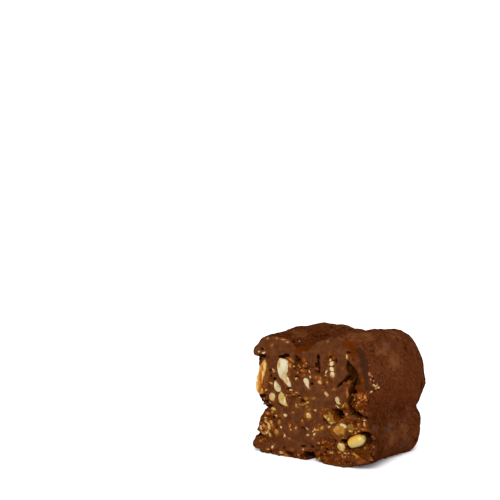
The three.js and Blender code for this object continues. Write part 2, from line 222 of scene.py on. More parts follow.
# Small pits: picture position, half sizes in pixels, depth in mm.
PITS = [
    (281.5, 356.9, 3.4, 1.5, 0.9), (286.0, 355.4, 3.2, 1.5, 0.9), (263.0, 349.0, 1.6, 1.2, 0.5), (262.0, 355.8, 4.2, 1.6, 0.8),
    (269.5, 370.6, 1.7, 1.6, 0.6), (270.6, 376.0, 1.3, 2.0, 0.6), (274.5, 378.8, 2.0, 1.5, 0.8), (289.4, 388.5, 2.3, 0.9, 0.5),
    (296.8, 376.8, 1.5, 1.2, 0.5), (295.4, 356.9, 1.8, 1.3, 0.8), (298.4, 359.8, 2.2, 2.2, 1.0), (296.8, 365.0, 5.0, 6.0, 0.8), (305.5, 368.2, 2.0, 1.2, 0.6),
    (309.6, 369.9, 1.2, 0.9, 0.5), (311.6, 384.0, 1.9, 1.0, 0.6), (307.3, 387.0, 1.4, 1.0, 0.4), (318.2, 357.3, 1.7, 2.4, 0.9),
    (334.3, 361.5, 1.8, 1.5, 0.7), (330.2, 357.2, 1.4, 1.3, 0.5), (331.5, 366.4, 2.4, 0.8, 0.5), (347.6, 352.4, 2.3, 1.0, 0.5),
    (352.6, 360.1, 1.3, 0.8, 0.4), (338.8, 414.6, 5.4, 5.6, 2.0), (335.2, 411.5, 3.2, 3.0, 1.2), (344.0, 441.4, 3.2, 2.0, 1.0),
    (334.8, 440.9, 1.8, 1.4, 0.6), (356.8, 441.6, 10.0, 7.8, 1.1), (366.6, 438.0, 5.0, 6.4, 1.5), (362.0, 433.2, 5.0, 1.9, 1.3),
    (371.0, 456.0, 1.6, 2.8, 0.8), (372.2, 378.2, 1.6, 1.4, 0.7), (303.4, 446.0, 2.6, 1.0, 0.5), (312.0, 447.0, 2.0, 1.2, 0.6),
    (316.8, 446.2, 2.0, 0.8, 0.5), (280.3, 404.2, 2.3, 1.2, 0.6), (279.6, 418.8, 1.6, 0.8, 0.4), (274.6, 412.6, 1.5, 1.4, 0.5),
    (274.4, 417.4, 1.4, 1.3, 0.5), (285.2, 415.2, 3.1, 2.7, 0.4), (261.8, 396.4, 3.6, 2.6, 0.8), (265.2, 401.2, 3.4, 2.4, 0.8),
    (270.2, 406.0, 2.8, 2.0, 0.6), (298.4, 396.6, 1.8, 1.5, 0.6), (302.6, 401.2, 2.4, 2.0, 0.5), (276.0, 427.4, 1.0, 2.4, 0.5),
    (265.4, 424.2, 1.2, 1.6, 0.5), (268.3, 432.4, 1.3, 1.0, 0.4), (260.6, 438.6, 1.8, 0.9, 0.4), (328.2, 449.5, 3.0, 0.9, 0.7),
    (320.6, 455.0, 1.5, 1.2, 0.5), (309.3, 455.6, 6.5, 3.6, 1.9), (290.0, 453.6, 3.4, 2.0, 0.6), (286.8, 456.0, 2.0, 1.0, 0.4),
    (301.2, 420.4, 1.0, 1.0, 0.3), (324.6, 421.4, 1.6, 2.2, 0.5), (343.2, 403.2, 1.0, 0.7, 0.3), (271.0, 451.2, 2.4, 1.2, 0.5),
    (277.6, 454.0, 2.0, 1.0, 0.5), (284.4, 447.8, 1.2, 0.8, 0.3), (321.8, 385.2, 1.6, 0.8, 0.4), (326.6, 389.8, 1.0, 0.7, 0.3),
    (283.8, 372.6, 0.8, 1.2, 0.25), (256.8, 394.6, 2.0, 1.6, 0.6), (316.0, 365.6, 1.2, 3.6, 0.6),
    (325.0, 452.6, 1.6, 1.0, 0.5), (348.4, 446.0, 1.6, 2.6, 0.7), (361.4, 447.0, 4.0, 1.0, 0.5), (333.4, 447.0, 1.2, 1.6, 0.5),
]
# Zones that the knife smeared smooth: picture position and half sizes in pixels.
SMOOTH = [(270, 343, 20, 12), (283, 346, 12, 7), (300, 340, 12, 8), (327, 348, 22, 12), (312, 356, 6, 8), (340, 368, 9, 14),
          (324, 362, 5, 8), (306, 390, 10, 6), (318, 398, 12, 12), (334, 395, 10, 12), (296, 437, 20, 11), (298, 416, 12, 10),
          (342, 392, 7, 10), (314, 413, 10, 8), (358, 372, 9, 18), (274, 365, 4, 8), (283, 380, 4, 6), (322, 436, 7, 8)]
# Zones that crumbled.
CRUMBLY = [(264, 428, 12, 14), (267, 411, 10, 9), (284, 454, 20, 4), (256, 447, 5, 3), (326, 457, 18, 7), (350, 458, 22, 8),
           (360, 402, 9, 12), (362, 425, 8, 7), (330, 418, 9, 9), (301, 456, 9, 5), (262, 396, 9, 8), (372, 446, 7, 14),
           (326, 445, 10, 7), (331, 360, 6, 6), (303, 369, 8, 7), (345, 408, 6, 8), (352, 428, 8, 7), (290, 395, 7, 4)]


def zone_mask(x, z, zones):
    """How much the points (x, z) of the cut lie in any of the zones, 0..1."""
    m = np.zeros_like(x)
    for u, v, a, b in zones:
        cx, cz = on_cut(u, v)
        ax, _ = on_cut_vector(u, v, a, 0)
        _, bz = on_cut_vector(u, v, 0, b)
        r = np.sqrt(((x - cx) / ax) ** 2 + ((z - cz) / bz) ** 2)
        m = np.maximum(m, 1 - ramp(r, 0.7, 1.25))
    return m


def crack_gap(p, depth, ragged, stops):
    """Distance-like value of a crack's void, below zero inside it."""
    x, z = p[:, 0], p[:, 2]
    if ragged:
        x = x + ragged * noise(p, 0.55, 301) + 0.5 * ragged * noise(p, 0.22, 303)
        z = z + ragged * noise(p, 0.55, 302) + 0.5 * ragged * noise(p, 0.22, 304)
    best = np.full(len(p), 9.0)
    for (x0, z0, w0), (x1, z1, w1) in zip(stops, stops[1:]):
        dx, dz = x1 - x0, z1 - z0
        t = np.clip(((x - x0) * dx + (z - z0) * dz) / (dx * dx + dz * dz), 0, 1)
        d = np.hypot(x - x0 - t * dx, z - z0 - t * dz) - (w0 + t * (w1 - w0)) * np.sqrt(np.clip(1 - p[:, 1] / depth, 0, 1.3))
        best = np.minimum(best, d)
    return np.maximum(best, p[:, 1] - depth)


def cut_plane(x, z):
    """How far the cut lies behind y = 0, without its fine relief."""
    return CUT_WAVE * (np.sin(0.75 * x + 0.4) * np.sin(0.7 * z + 1.1) + 0.5 * np.sin(1.6 * x + 1.2 * z))


CRACKS = []
for deep_, ragged_, seen_ in CRACKS_SEEN:
    CRACKS.append((deep_, ragged_, [(*on_cut(u_, v_), abs(on_cut_vector(u_, v_, w_, 0)[0])) for u_, v_, w_ in seen_]))
_pits = []
for u_, v_, a_, b_, deep_ in PITS:
    px_, pz_ = on_cut(u_, v_)
    ax_, bz_ = abs(on_cut_vector(u_, v_, a_, 0)[0]), abs(on_cut_vector(u_, v_, 0, b_)[1])
    _pits.append((px_, pz_, ax_, bz_, deep_))


def streaks(p, seed):
    """Noise drawn out as the skin is: towards the front on top, down and back on the right."""
    x, y, z = p.T
    top = np.stack([(x - y) * 0.707 / 2.0, (x + y) * 0.707 / 0.34, z / 0.6], 1)
    side = np.stack([x / 0.5, (0.84 * y - 0.54 * z) / 0.95, (0.54 * y + 0.84 * z) / 0.26], 1)
    w = ramp(z, 12.8, 14.6)
    return noise(side, 1.0, seed) * (1 - w) + noise(top, 1.0, seed + 1) * w


def skin_relief(p):
    """Powder grains, pressed lumps and streaks; deeper streaks on top between the lobes."""
    s = 0.025 * noise(p, 1.6, 11) + 0.03 * noise(p, 0.55, 12) + 0.024 * noise(p, 0.25, 13)
    drawn = streaks(p, 14)
    groove = ramp(p[:, 2], 13.2, 14.4) * ramp(p[:, 0], 6.5, 3.5) * ramp(p[:, 1], 7.0, 4.5)
    return s + 0.018 * drawn + (0.02 + 0.06 * groove) * ramp(drawn + 0.4 * noise(p, 0.9, 16), 0.30, 0.85)


def cut_relief(p):
    """Relief of the cut: smeared, plain or crumbled."""
    x, y, z = p[:, 0], p[:, 1], p[:, 2]
    smooth = zone_mask(x, z, SMOOTH)
    crumbly = zone_mask(x, z, CRUMBLY)
    plain = np.clip(1 - 0.8 * smooth, 0, 1)
    r = plain * (0.07 * noise(p, 0.9, 21) + 0.07 * noise(p, 0.42, 22) + 0.04 * noise(p, 0.22, 23))
    across = np.stack([(x * 0.5 + z * 0.87) / 2.4, y, (x * 0.87 - z * 0.5) / 0.4], 1)
    r = r + 0.03 * noise(across, 1.0, 24)
    rough = crumbly > 0.02
    if rough.any():
        q = p[rough]
        d1, d2, who = cells(q + 0.22 * np.stack([noise(q, 0.5, 51), noise(q, 0.5, 52), noise(q, 0.5, 53)], 1), 0.80, 61)
        e1, e2, _ = cells(q, 0.42, 62)
        lump = 0.26 * (d1 - 0.55) + 0.22 * (who - 0.5) - 0.07 * ramp(d2 - d1, 0.0, 0.35) + 0.06 * (e1 - 0.5)
        r[rough] += crumbly[rough] * (lump + 0.10 * noise(q, 0.8, 25) + 0.16)
    holes = ramp(noise(p, 0.38, 27) + 0.45 * noise(p, 0.85, 28), 0.60, 0.95) * (0.45 + 0.55 * crumbly) * plain
    foot = ramp(z, 1.4, 0.2) * np.maximum(ramp(x, -2.4, -3.6), ramp(x, -0.6, 0.4) * ramp(x, 5.4, 4.4))
    return r + 0.40 * holes - 0.42 * foot  # the edge that rests on the floor spread forward


def log_value(p, fine=True):
    """Distance-like value of the whole log at points p in mm, below zero inside."""
    x, y, z = p[:, 0], p[:, 1], p[:, 2]
    skin = skin_value(p)
    front = cut_plane(x, z) - y
    if fine:
        near = (np.abs(skin) < 0.5) & (front < 0.9)
        skin[near] += skin_relief(p[near])
        near = (np.abs(front) < 1.0) & (skin < 0.8)
        front[near] += cut_relief(p[near])
    d = soft_max(skin, front, 0.40 - 0.22 * ramp(z, 2.2, 0.9))
    for depth, ragged, stops in CRACKS:
        st = np.array(stops)
        lo, hi = st.min(0) - st[:, 2].max() - 0.8, st.max(0) + st[:, 2].max() + 0.8
        near = (x > lo[0]) & (x < hi[0]) & (z > lo[1]) & (z < hi[1]) & (y < depth + 0.8)
        if near.any():
            gap = crack_gap(p[near], depth, ragged if fine else 0.0, stops)
            d[near] = soft_max(d[near], -gap, 0.12)
    for px, pz, ra, rb, deep in _pits:
        near = (np.abs(x - px) < ra + 0.7) & (np.abs(z - pz) < rb + 0.7) & (y < deep + 0.8)
        if not near.any():
            continue
        q = p[near]
        qx, qy, qz = q[:, 0], q[:, 1], q[:, 2]
        if fine:
            size = min(0.4, 0.35 * min(ra, rb) + 0.05)
            qx = qx + 0.35 * size * noise(q, 0.45, 31) + 0.25 * size * noise(q, 0.2, 34)
            qz = qz + 0.35 * size * noise(q, 0.45, 33) + 0.25 * size * noise(q, 0.2, 35)
        m = np.sqrt(((qx - px) / ra) ** 2 + (np.maximum(qy, 0) / deep) ** 2 + ((qz - pz) / rb) ** 2)
        gap = (m - 1) * min(ra, rb, deep)
        d[near] = soft_max(d[near], -gap, min(0.16, 0.4 * min(ra, rb)))
    return np.maximum(d, -z)


# =====================================================================================
# Surface of a value field on a grid (surface nets), near the surface only.
def surface(value, low, high, step, block=4, band=0.62):
    low, high = np.asarray(low, float), np.asarray(high, float)
    nb = np.ceil((high - low) / (step * block)).astype(int)
    bs = step * block
    gx, gy, gz = (low[a] + bs * np.arange(nb[a] + 1) for a in range(3))
    grid = np.stack(np.meshgrid(gx, gy, gz, indexing="ij"), -1).reshape(-1, 3)
    coarse = value(grid, False).reshape(nb + 1)
    corner_min = np.full(nb, 1e9)
    corner_max = np.full(nb, -1e9)
    for i in (0, 1):
        for j in (0, 1):
            for k in (0, 1):
                c = coarse[i:nb[0] + i, j:nb[1] + j, k:nb[2] + k]
                corner_min = np.minimum(corner_min, c)
                corner_max = np.maximum(corner_max, c)
    active = (corner_min < band) & (corner_max > -band)
    n = nb * block + 1
    cellmask = active.repeat(block, 0).repeat(block, 1).repeat(block, 2)
    mask = np.zeros(n, bool)
    for i in (0, 1):
        for j in (0, 1):
            for k in (0, 1):
                mask[i:n[0] - 1 + i, j:n[1] - 1 + j, k:n[2] - 1 + k] |= cellmask
    field = np.ones(n, np.float32)
    sign = np.where(corner_max < 0, -1.0, 1.0).astype(np.float32)
    field[:-1, :-1, :-1] = sign.repeat(block, 0).repeat(block, 1).repeat(block, 2)
    index = np.argwhere(mask)
    say("grid", n.tolist(), "points near the surface", len(index))
    values = np.empty(len(index), np.float32)
    for s in range(0, len(index), 400000):
        values[s:s + 400000] = value(low + index[s:s + 400000] * step, True)
    field[mask] = values
    field[0], field[-1], field[:, 0], field[:, -1], field[:, :, 0], field[:, :, -1] = 1, 1, 1, 1, 1, 1

    inside = field < 0
    cells_n = tuple(n - 1)
    where, spots, quads = [], [], []
    for axis in range(3):
        s0, s1 = [slice(None)] * 3, [slice(None)] * 3
        s0[axis], s1[axis] = slice(0, -1), slice(1, None)
        e = np.argwhere(inside[tuple(s0)] != inside[tuple(s1)])
        up = e.copy()
        up[:, axis] += 1
        v0, v1 = field[tuple(e.T)], field[tuple(up.T)]
        pos = e.astype(np.float64)
        pos[:, axis] += v0 / (v0 - v1)
        b, c = (axis + 1) % 3, (axis + 2) % 3
        ids = []
        for db, dc in ((-1, -1), (0, -1), (0, 0), (-1, 0)):
            k = e.copy()
            k[:, b] += db
            k[:, c] += dc
            ids.append(np.ravel_multi_index(k.T, cells_n))
            where.append(ids[-1])
            spots.append(pos)
        q = np.stack(ids, 1)
        flip = v0 > 0
        q[flip] = q[flip][:, ::-1]
        quads.append(q)
    where, spots, quads = np.concatenate(where), np.concatenate(spots), np.concatenate(quads)
    used, inverse = np.unique(where, return_inverse=True)
    count = np.bincount(inverse)
    verts = np.stack([np.bincount(inverse, spots[:, a]) / count for a in range(3)], 1) * step + low
    faces = np.searchsorted(used, quads)
    return verts, faces


def largest_island(verts, faces):
    """Drops every loose bit but the largest."""
    label = np.arange(len(verts))
    edges = np.concatenate([faces[:, [i, (i + 1) % faces.shape[1]]] for i in range(faces.shape[1])])
    while True:
        before = label.copy()
        m = np.minimum(label[edges[:, 0]], label[edges[:, 1]])
        np.minimum.at(label, edges[:, 0], m)
        np.minimum.at(label, edges[:, 1], m)
        for _ in range(4):
            label = label[label]
        if (label == before).all():
            break
    big = np.bincount(label[faces[:, 0]]).argmax()
    keep_v = label == big
    new = np.cumsum(keep_v) - 1
    return verts[keep_v], new[faces[keep_v[faces[:, 0]]]]


def mesh_object(name, verts_mm, faces, attributes=(), smooth=True):
    """A mesh object from arrays: points in mm in the log's frame."""
    co = (np.asarray(verts_mm) + SHIFT) * MM
    me = bpy.data.meshes.new(name)
    me.vertices.add(len(co))
    me.vertices.foreach_set("co", co.astype(np.float32).ravel())
    width = faces.shape[1]
    me.loops.add(faces.size)
    me.loops.foreach_set("vertex_index", faces.astype(np.int32).ravel())
    me.polygons.add(len(faces))
    me.polygons.foreach_set("loop_start", np.arange(0, faces.size, width, dtype=np.int32))
    me.update(calc_edges=True)
    me.validate()
    me.polygons.foreach_set("use_smooth", np.full(len(me.polygons), smooth))
    for key, values in attributes:
        a = me.attributes.new(key, "FLOAT", "POINT")
        a.data.foreach_set("value", np.asarray(values, np.float32))
    ob = bpy.data.objects.new(name, me)
    scene.collection.objects.link(ob)
    return ob


def points_of(mesh):
    co = np.empty(len(mesh.vertices) * 3, np.float32)
    mesh.vertices.foreach_get("co", co)
    return co.reshape(-1, 3) / MM - SHIFT


def seen(uv):
    """The points of the log's surface, in mm, that show at picture positions; nan where none."""
    uv = np.asarray(uv, float)
    d = AHEAD + RIGHT * ((uv[:, :1] - 250.0) / FOCAL_PX) + UP * ((250.0 - uv[:, 1:]) / FOCAL_PX)
    start = (-0.9 - EYE[1]) / d[:, 1]
    out = np.full((len(uv), 3), np.nan)
    coarse = np.arange(0, 23, 0.15)
    q = EYE + d[:, None] * (start[:, None] + coarse)[..., None]
    inside = log_value(q.reshape(-1, 3), False).reshape(len(uv), -1) < 0
    hit = inside.any(1)
    first = start + coarse[inside.argmax(1)]
    fine = np.arange(-0.6, 1.2, 0.04)
    d, first = d[hit], first[hit]
    q = EYE + d[:, None] * (first[:, None] + fine)[..., None]
    inside = log_value(q.reshape(-1, 3), True).reshape(len(d), -1) < 0
    t = first + np.where(inside.any(1), fine[inside.argmax(1)], 0.3)
    out[np.nonzero(hit)[0]] = EYE + d * t[:, None]
    return out


def painted(points, zones, reach, waver=0.12, edge=(0.6, 1.2)):
    """How much the points lie in any of the zones, 0..1. A zone lies round the point that shows at
    its picture position, with half sizes in pixels; reach is its depth in mm; edge is where it
    starts and ends to fade, as parts of its size."""
    m = np.zeros(len(points))
    wave = waver * np.stack([noise(points, 0.6, 71) + 0.5 * noise(points, 0.25, 74), noise(points, 0.6, 72), noise(points, 0.6, 73) + 0.5 * noise(points, 0.25, 75)], 1)
    for (u, v, a, b), spot in zip(zones, seen([zone[:2] for zone in zones])):
        if np.isnan(spot).any():
            continue
        px = ((spot - EYE) @ AHEAD) / FOCAL_PX
        q = points + wave - spot
        r = np.sqrt(((q @ RIGHT) / (a * px)) ** 2 + (q[:, 2] / (b * px)) ** 2 + ((q @ AHEAD) / reach) ** 2)
        m = np.maximum(m, 1 - ramp(r, *edge))
    return m


# =====================================================================================
# The chocolate
STEP = 0.105
verts, faces = surface(log_value, (-10.2, -1.1, -0.65), (10.2, 17.4, 17.2), STEP)
say("surface", len(verts), "points", len(faces), "quads")
verts, faces = largest_island(verts, faces)
say("largest island", len(verts), "points")
tris = np.concatenate([faces[:, [0, 1, 2]], faces[:, [0, 2, 3]]])
body = mesh_object("chocolate", verts, tris)
limit = 190000
if len(tris) > limit:
    mod = body.modifiers.new("thin", "DECIMATE")
    mod.ratio = limit / len(tris)
    thin = bpy.data.meshes.new_from_object(body.evaluated_get(bpy.context.evaluated_depsgraph_get()))
    body.modifiers.clear()
    old, body.data = body.data, thin
    bpy.data.meshes.remove(old)
    thin.name = "chocolate"
    thin.polygons.foreach_set("use_smooth", np.full(len(thin.polygons), True))
say("chocolate", len(body.data.vertices), "points", len(body.data.polygons), "faces")


def add_attribute(ob, key, values):
    a = ob.data.attributes.new(key, "FLOAT", "POINT")
    a.data.foreach_set("value", np.asarray(values, np.float32))


# Zones of colour: picture position and half sizes in pixels.
# Olive-brown on the floors of the cracks and pits and on some smeared nut: partly the chocolate's own hue, partly
# painted shade.
OLIVE_SHADE = [(354.5, 402, 3.5, 6), (356, 409, 4, 4), (336, 414, 3.5, 6), (353.5, 387.5, 3, 5),
         (297, 365, 6, 6.5), (362, 453, 7, 5), (349, 427, 5, 6), (304, 400, 5, 6), (264, 402, 5, 5)]
# Painted shade: darker colour laid into the cracks and pits, where shade falls.
HOLLOW_SHADE = [(348.2, 367.5, 2.6, 5.5), (353.4, 371.5, 4.4, 5.5), (351.0, 376.5, 5.2, 4.5), (356.6, 374.0, 2.6, 5.0), (358.0, 380.8, 3.2, 5.5), (355.4, 386.5, 3.6, 5.0), (345.4, 440.4, 2.4, 2.6), (352.5, 449.6, 5.0, 1.1), (352.2, 391, 3.6, 6.5), (350.2, 403, 2.0, 6), (351.5, 409, 2.4, 3), (355, 413, 3.2, 2.0), (360, 416.4, 4.5, 1.4), (341.3, 415, 3, 5.5),
        (368, 438, 4.5, 6), (363, 432.6, 7, 1.8), (295.4, 357.0, 1.5, 1.2), (298.6, 360.2, 1.8, 2.0), (301.0, 367.4, 1.4, 3.0), (284, 356, 4.5, 1.3), (343.5, 441.3, 3.8, 1.8), (309.5, 456, 7, 2.8), (263, 355.8, 4, 1.5),
        (274.4, 379, 2, 1.4), (345.5, 379.8, 2.4, 1.6), (341, 384, 2.2, 1.5), (333.5, 361.3, 1.8, 1.5), (318, 371, 2.4, 3), (318.4, 357, 1.2, 2), (269, 405, 3, 3),
        (260, 393.5, 4, 2.6), (262.5, 397.5, 4, 2.6), (347, 447, 1.6, 3), (371, 456, 2, 3)]
# Reddish-orange on the rims and hollow walls: partly the chocolate's own tone, partly a painted glow of lit edges.
WARM_AND_GLOW = [(346.5, 343.8, 6, 3.4), (351.5, 346.5, 5, 4.5), (354.2, 352, 4, 5.5), (354.8, 358, 2.8, 6), (299.5, 350.6, 6.5, 3.4), (304.5, 348.6, 7, 3.2), (309.8, 346.4, 5, 2.6), (359.5, 388, 5, 6), (361.4, 378, 3.0, 8), (362, 404, 6, 9), (300, 454.5, 6, 4)]
LIT = [(361.6, 397.5, 4.4, 5), (360.6, 402.5, 3.6, 4), (267.5, 428, 4.5, 7), (347.6, 393, 0.8, 5), (357.2, 406, 1.2, 3), (362.6, 379.5, 1.0, 3.0)]
GREY = [(359.2, 350.5, 3.0, 3.4), (362.0, 356, 3.8, 5.5), (363.6, 363, 4.8, 6.5), (365.4, 370.5, 4.2, 6), (367.0, 378, 3.2, 6), (366.8, 386, 2.8, 6)]
# The same on the skin.
TAN = [(352, 336, 12, 3.8), (366, 335, 8, 4), (383, 349, 8, 5), (394, 362, 8, 9), (395, 334, 12, 4), (390, 438, 14, 10), (404, 430, 8, 8), (330, 337.4, 12, 1.4), (298, 333, 9, 4)]
RUDDY = [(402, 398, 18, 14), (382, 400, 12, 14), (408, 372, 10, 10), (372, 352, 4, 8)]
BLUISH = [(387, 345.5, 4, 2.4), (413, 344, 4, 3.4), (390, 427, 9, 3.4), (375, 429.5, 4, 3), (405, 442, 6, 6), (404, 419, 5, 2), (382, 381, 4, 2)]
# Painted shade: near-black marks where small pits and streaks in the skin hold shade.
PIT_SHADE_SPOTS = [(331, 327.8, 3.0, 0.9), (343, 328.0, 3.4, 1.0), (349, 329.4, 3.0, 0.9), (338, 330.6, 2.0, 0.7), (312, 333.8, 1.6, 0.8), (320.4, 332.2, 2.0, 0.7), (326.4, 334.6, 2.4, 0.8),
         (333.4, 333.4, 1.8, 0.6), (316.6, 336.4, 2.2, 0.7), (308, 331.4, 1.6, 0.6), (293.2, 341.8, 2.4, 1.2), (295.6, 345.2, 2.4, 1.0), (372.4, 345.6, 1.6, 0.8), (370.0, 350.2, 1.4, 0.7),
         (406.4, 350.4, 1.0, 3.0), (398.4, 339.2, 1.2, 0.7), (372.6, 378.0, 1.8, 1.2), (371.6, 394.6, 2.2, 0.8), (421.6, 386, 1.6, 6), (375.2, 391.0, 1.6, 0.6), (415.6, 440.6, 1.8, 4.0)]
# Painted shade: where pits in the skin make its streaks darker still.
PIT_SHADE_LINES = [(404.5, 348, 3, 5), (371.5, 346, 4, 6), (398, 339, 3, 2), (371.5, 377.5, 2, 2), (421, 385, 3.5, 6), (417, 409, 2, 4)]
p = points_of(body.data)
x, y, z = p.T
sk = skin_value(p)
fr = cut_plane(x, z) - y
on_face = ramp(fr - sk, -0.25, 0.15)  # 1 on the cut and in its hollows, 0 on the skin
normals = np.empty(len(p) * 3, np.float32)
body.data.vertices.foreach_get("normal", normals)
normals = normals.reshape(-1, 3)
# How open the surface is round each point; the material darkens the enclosed places with it as painted shade.
open_near = np.clip(log_value(p + normals * 0.22) / 0.22, 0, 1)
open_far = np.clip(log_value(p + normals * 0.75) / 0.75, 0, 1)
add_attribute(body, "on_face", on_face)
add_attribute(body, "smeared", zone_mask(x, z, SMOOTH) * on_face)
add_attribute(body, "crumbly", zone_mask(x, z, CRUMBLY) * on_face)
# How far behind the cut a point lies; the material darkens the deepest places with it as painted shade.
add_attribute(body, "depth", np.clip((y - cut_plane(x, z)) / 1.6, 0, 1) * on_face * ramp(-sk, 0.1, 0.5))
for key, zones, reach in (("olive", OLIVE_SHADE, 1.6), ("hollow_shade", HOLLOW_SHADE, 1.8), ("warm_and_glow", WARM_AND_GLOW, 1.6), ("lit", LIT, 1.0), ("greyed", GREY, 1.6), ("pit_shade_spots", PIT_SHADE_SPOTS, 1.5)):
    add_attribute(body, key, painted(p, zones, reach))
for key, zones, reach in (("tan", TAN, 2.5), ("ruddy", RUDDY, 3.0), ("bluish", BLUISH, 1.5), ("pit_shade_lines", PIT_SHADE_LINES, 1.5)):
    add_attribute(body, key, painted(p, zones, reach, 0.45, (0.1, 1.4)))
add_attribute(body, "streak", streaks(p, 14) + 0.4 * noise(p, 0.9, 16))
# The groove between the top lobes: sets the streaks' direction there, and the material darkens it as painted shade.
add_attribute(body, "between", ramp(z, 13.2, 14.4) * ramp(x, 6.5, 3.5) * ramp(y, 8.0, 5.0))
add_attribute(body, "open_near", open_near)
add_attribute(body, "open_far", open_far)
say("attributes")


# =====================================================================================
# Nuts
def ball(level):
    bm = bmesh.new()
    bmesh.ops.create_icosphere(bm, subdivisions=level, radius=1.0)
    v = np.array([q.co[:] for q in bm.verts])
    f = np.array([[q.index for q in t.verts] for t in bm.faces])
    bm.free()
    return v, f


BALLS = {k: ball(k) for k in (2, 3, 4, 5, 6)}


def lump_shape(rng, v, breaks, rough, square=2.0, uneven=1.0):
    """A unit ball turned into an uneven chip: flat breaks and fine roughness."""
    v = v.copy()
    if square != 2.0:
        s = (np.abs(v) ** square).sum(1) ** (1 / square)
        v = v / s[:, None]
    off = rng.rand(3) * 50
    v = v * (1 + uneven * (0.13 * noise(v + off, 0.9, 41) + 0.07 * noise(v + off, 0.4, 42)))[:, None]
    for _ in range(breaks):
        n = rng.randn(3)
        n /= np.linalg.norm(n)
        at = 0.62 + 0.3 * rng.rand()
        over = v @ n - at
        v = v - np.where(over > 0, over * 0.92, 0)[:, None] * n
    v = v + (rough * noise(v + off, 0.22, 43) + 0.5 * rough * noise(v + off, 0.1, 44))[:, None] * v
    return v


def chip(rng, level, centre, a, b, c, lean, breaks=5, rough=0.03, square=2.3, flat=None, tilt=0.0):
    """Points and faces of a chip: half sizes a along the lean in the cut, b across it, c into the
    log; flat gives how far its sliced front stands proud of the plane y = 0."""
    v, f = BALLS[level]
    v = lump_shape(rng, v, breaks, rough, square)
    v = v * (a, c, b)
    if tilt:
        ct, st = math.cos(tilt), math.sin(tilt)
        v = np.stack([v[:, 0] * ct - v[:, 1] * st, v[:, 0] * st + v[:, 1] * ct, v[:, 2]], 1)
    cl, sl = math.cos(lean), math.sin(lean)
    v = np.stack([v[:, 0] * cl - v[:, 2] * sl, v[:, 1], v[:, 0] * sl + v[:, 2] * cl], 1)
    v = v + centre
    if flat is not None:
        level_y = cut_plane(v[:, 0], v[:, 2]) - flat + 0.03 * noise(v, 0.5, 45) + 0.012 * noise(v, 0.16, 46)
        over = level_y - v[:, 1]
        v[:, 1] += np.where(over > 0, over * 0.93, 0)
    return v, f


def join(parts):
    vs, fs, extra, n = [], [], [], 0
    for v, f, *e in parts:
        vs.append(v)
        fs.append(f + n)
        n += len(v)
        extra.append([np.full(len(v), q, np.float32) if np.isscalar(q) else q for q in e])
    cols = [np.concatenate([e[i] for e in extra]) for i in range(len(extra[0]))]
    return np.concatenate(vs), np.concatenate(fs), cols


def stain_of(v, reach=0.16):
    """How near a point of a nut lies to the chocolate's surface, from outside: 1 at it."""
    d = log_value(v, True)
    return 1 - ramp(d, -0.02, reach)


def spine_piece(rng, level, stops, ny, c, breaks, rough, square, flat, uneven):
    """Points and faces of a piece drawn along a line: stops of picture position and half width in
    pixels, middle and half size into the log in mm. Also how far each point lies along and across."""
    v, f = BALLS[level]
    v = lump_shape(rng, v, breaks, rough, square, uneven)
    px = np.array([stop[:2] for stop in stops])
    run = np.gradient(px, axis=0)
    run /= np.linalg.norm(run, axis=1)[:, None]
    line = np.array([(*on_cut(u, w), h * math.hypot(*on_cut_vector(u, w, -ry, rx))) for (u, w, h), (rx, ry) in zip(stops, run)])
    t = np.concatenate([[0], np.cumsum(np.hypot(*np.diff(line[:, :2], axis=0).T))])
    t /= t[-1]
    line = np.concatenate([line[:1] - 0.3 * (line[1:2] - line[:1]) / t[1], line, line[-1:] + 0.3 * (line[-1:] - line[-2:-1]) / (1 - t[-2])])
    line[[0, -1], 2] = line[[1, -2], 2]
    t = np.concatenate([[-0.3], t, [1.3]])

    def middle(at):
        return np.stack([np.interp(at, t, line[:, k]) for k in (0, 1)], 1)

    at = (v[:, 0] + 1) / 2
    run = middle(at + 0.12) - middle(at - 0.12)
    run /= np.linalg.norm(run, axis=1)[:, None]
    wide = np.interp(at, t, line[:, 2]) * v[:, 2]
    m = middle(at)
    shift = math.tan(ALPHA) * (0.25 * ny - 0.8 * flat if flat is not None else ny)
    p = np.stack([m[:, 0] - run[:, 1] * wide - shift, ny + c * v[:, 1], m[:, 1] + run[:, 0] * wide], 1)
    if flat is not None:
        level_y = cut_plane(p[:, 0], p[:, 2]) - flat + 0.03 * noise(p, 0.5, 45) + 0.012 * noise(p, 0.16, 46)
        over = level_y - p[:, 1]
        p[:, 1] += np.where(over > 0, over * 0.93, 0)
    return p, f, v[:, 0], v[:, 2]


PX = 0.143  # mean size of a pixel at the cut, in mm
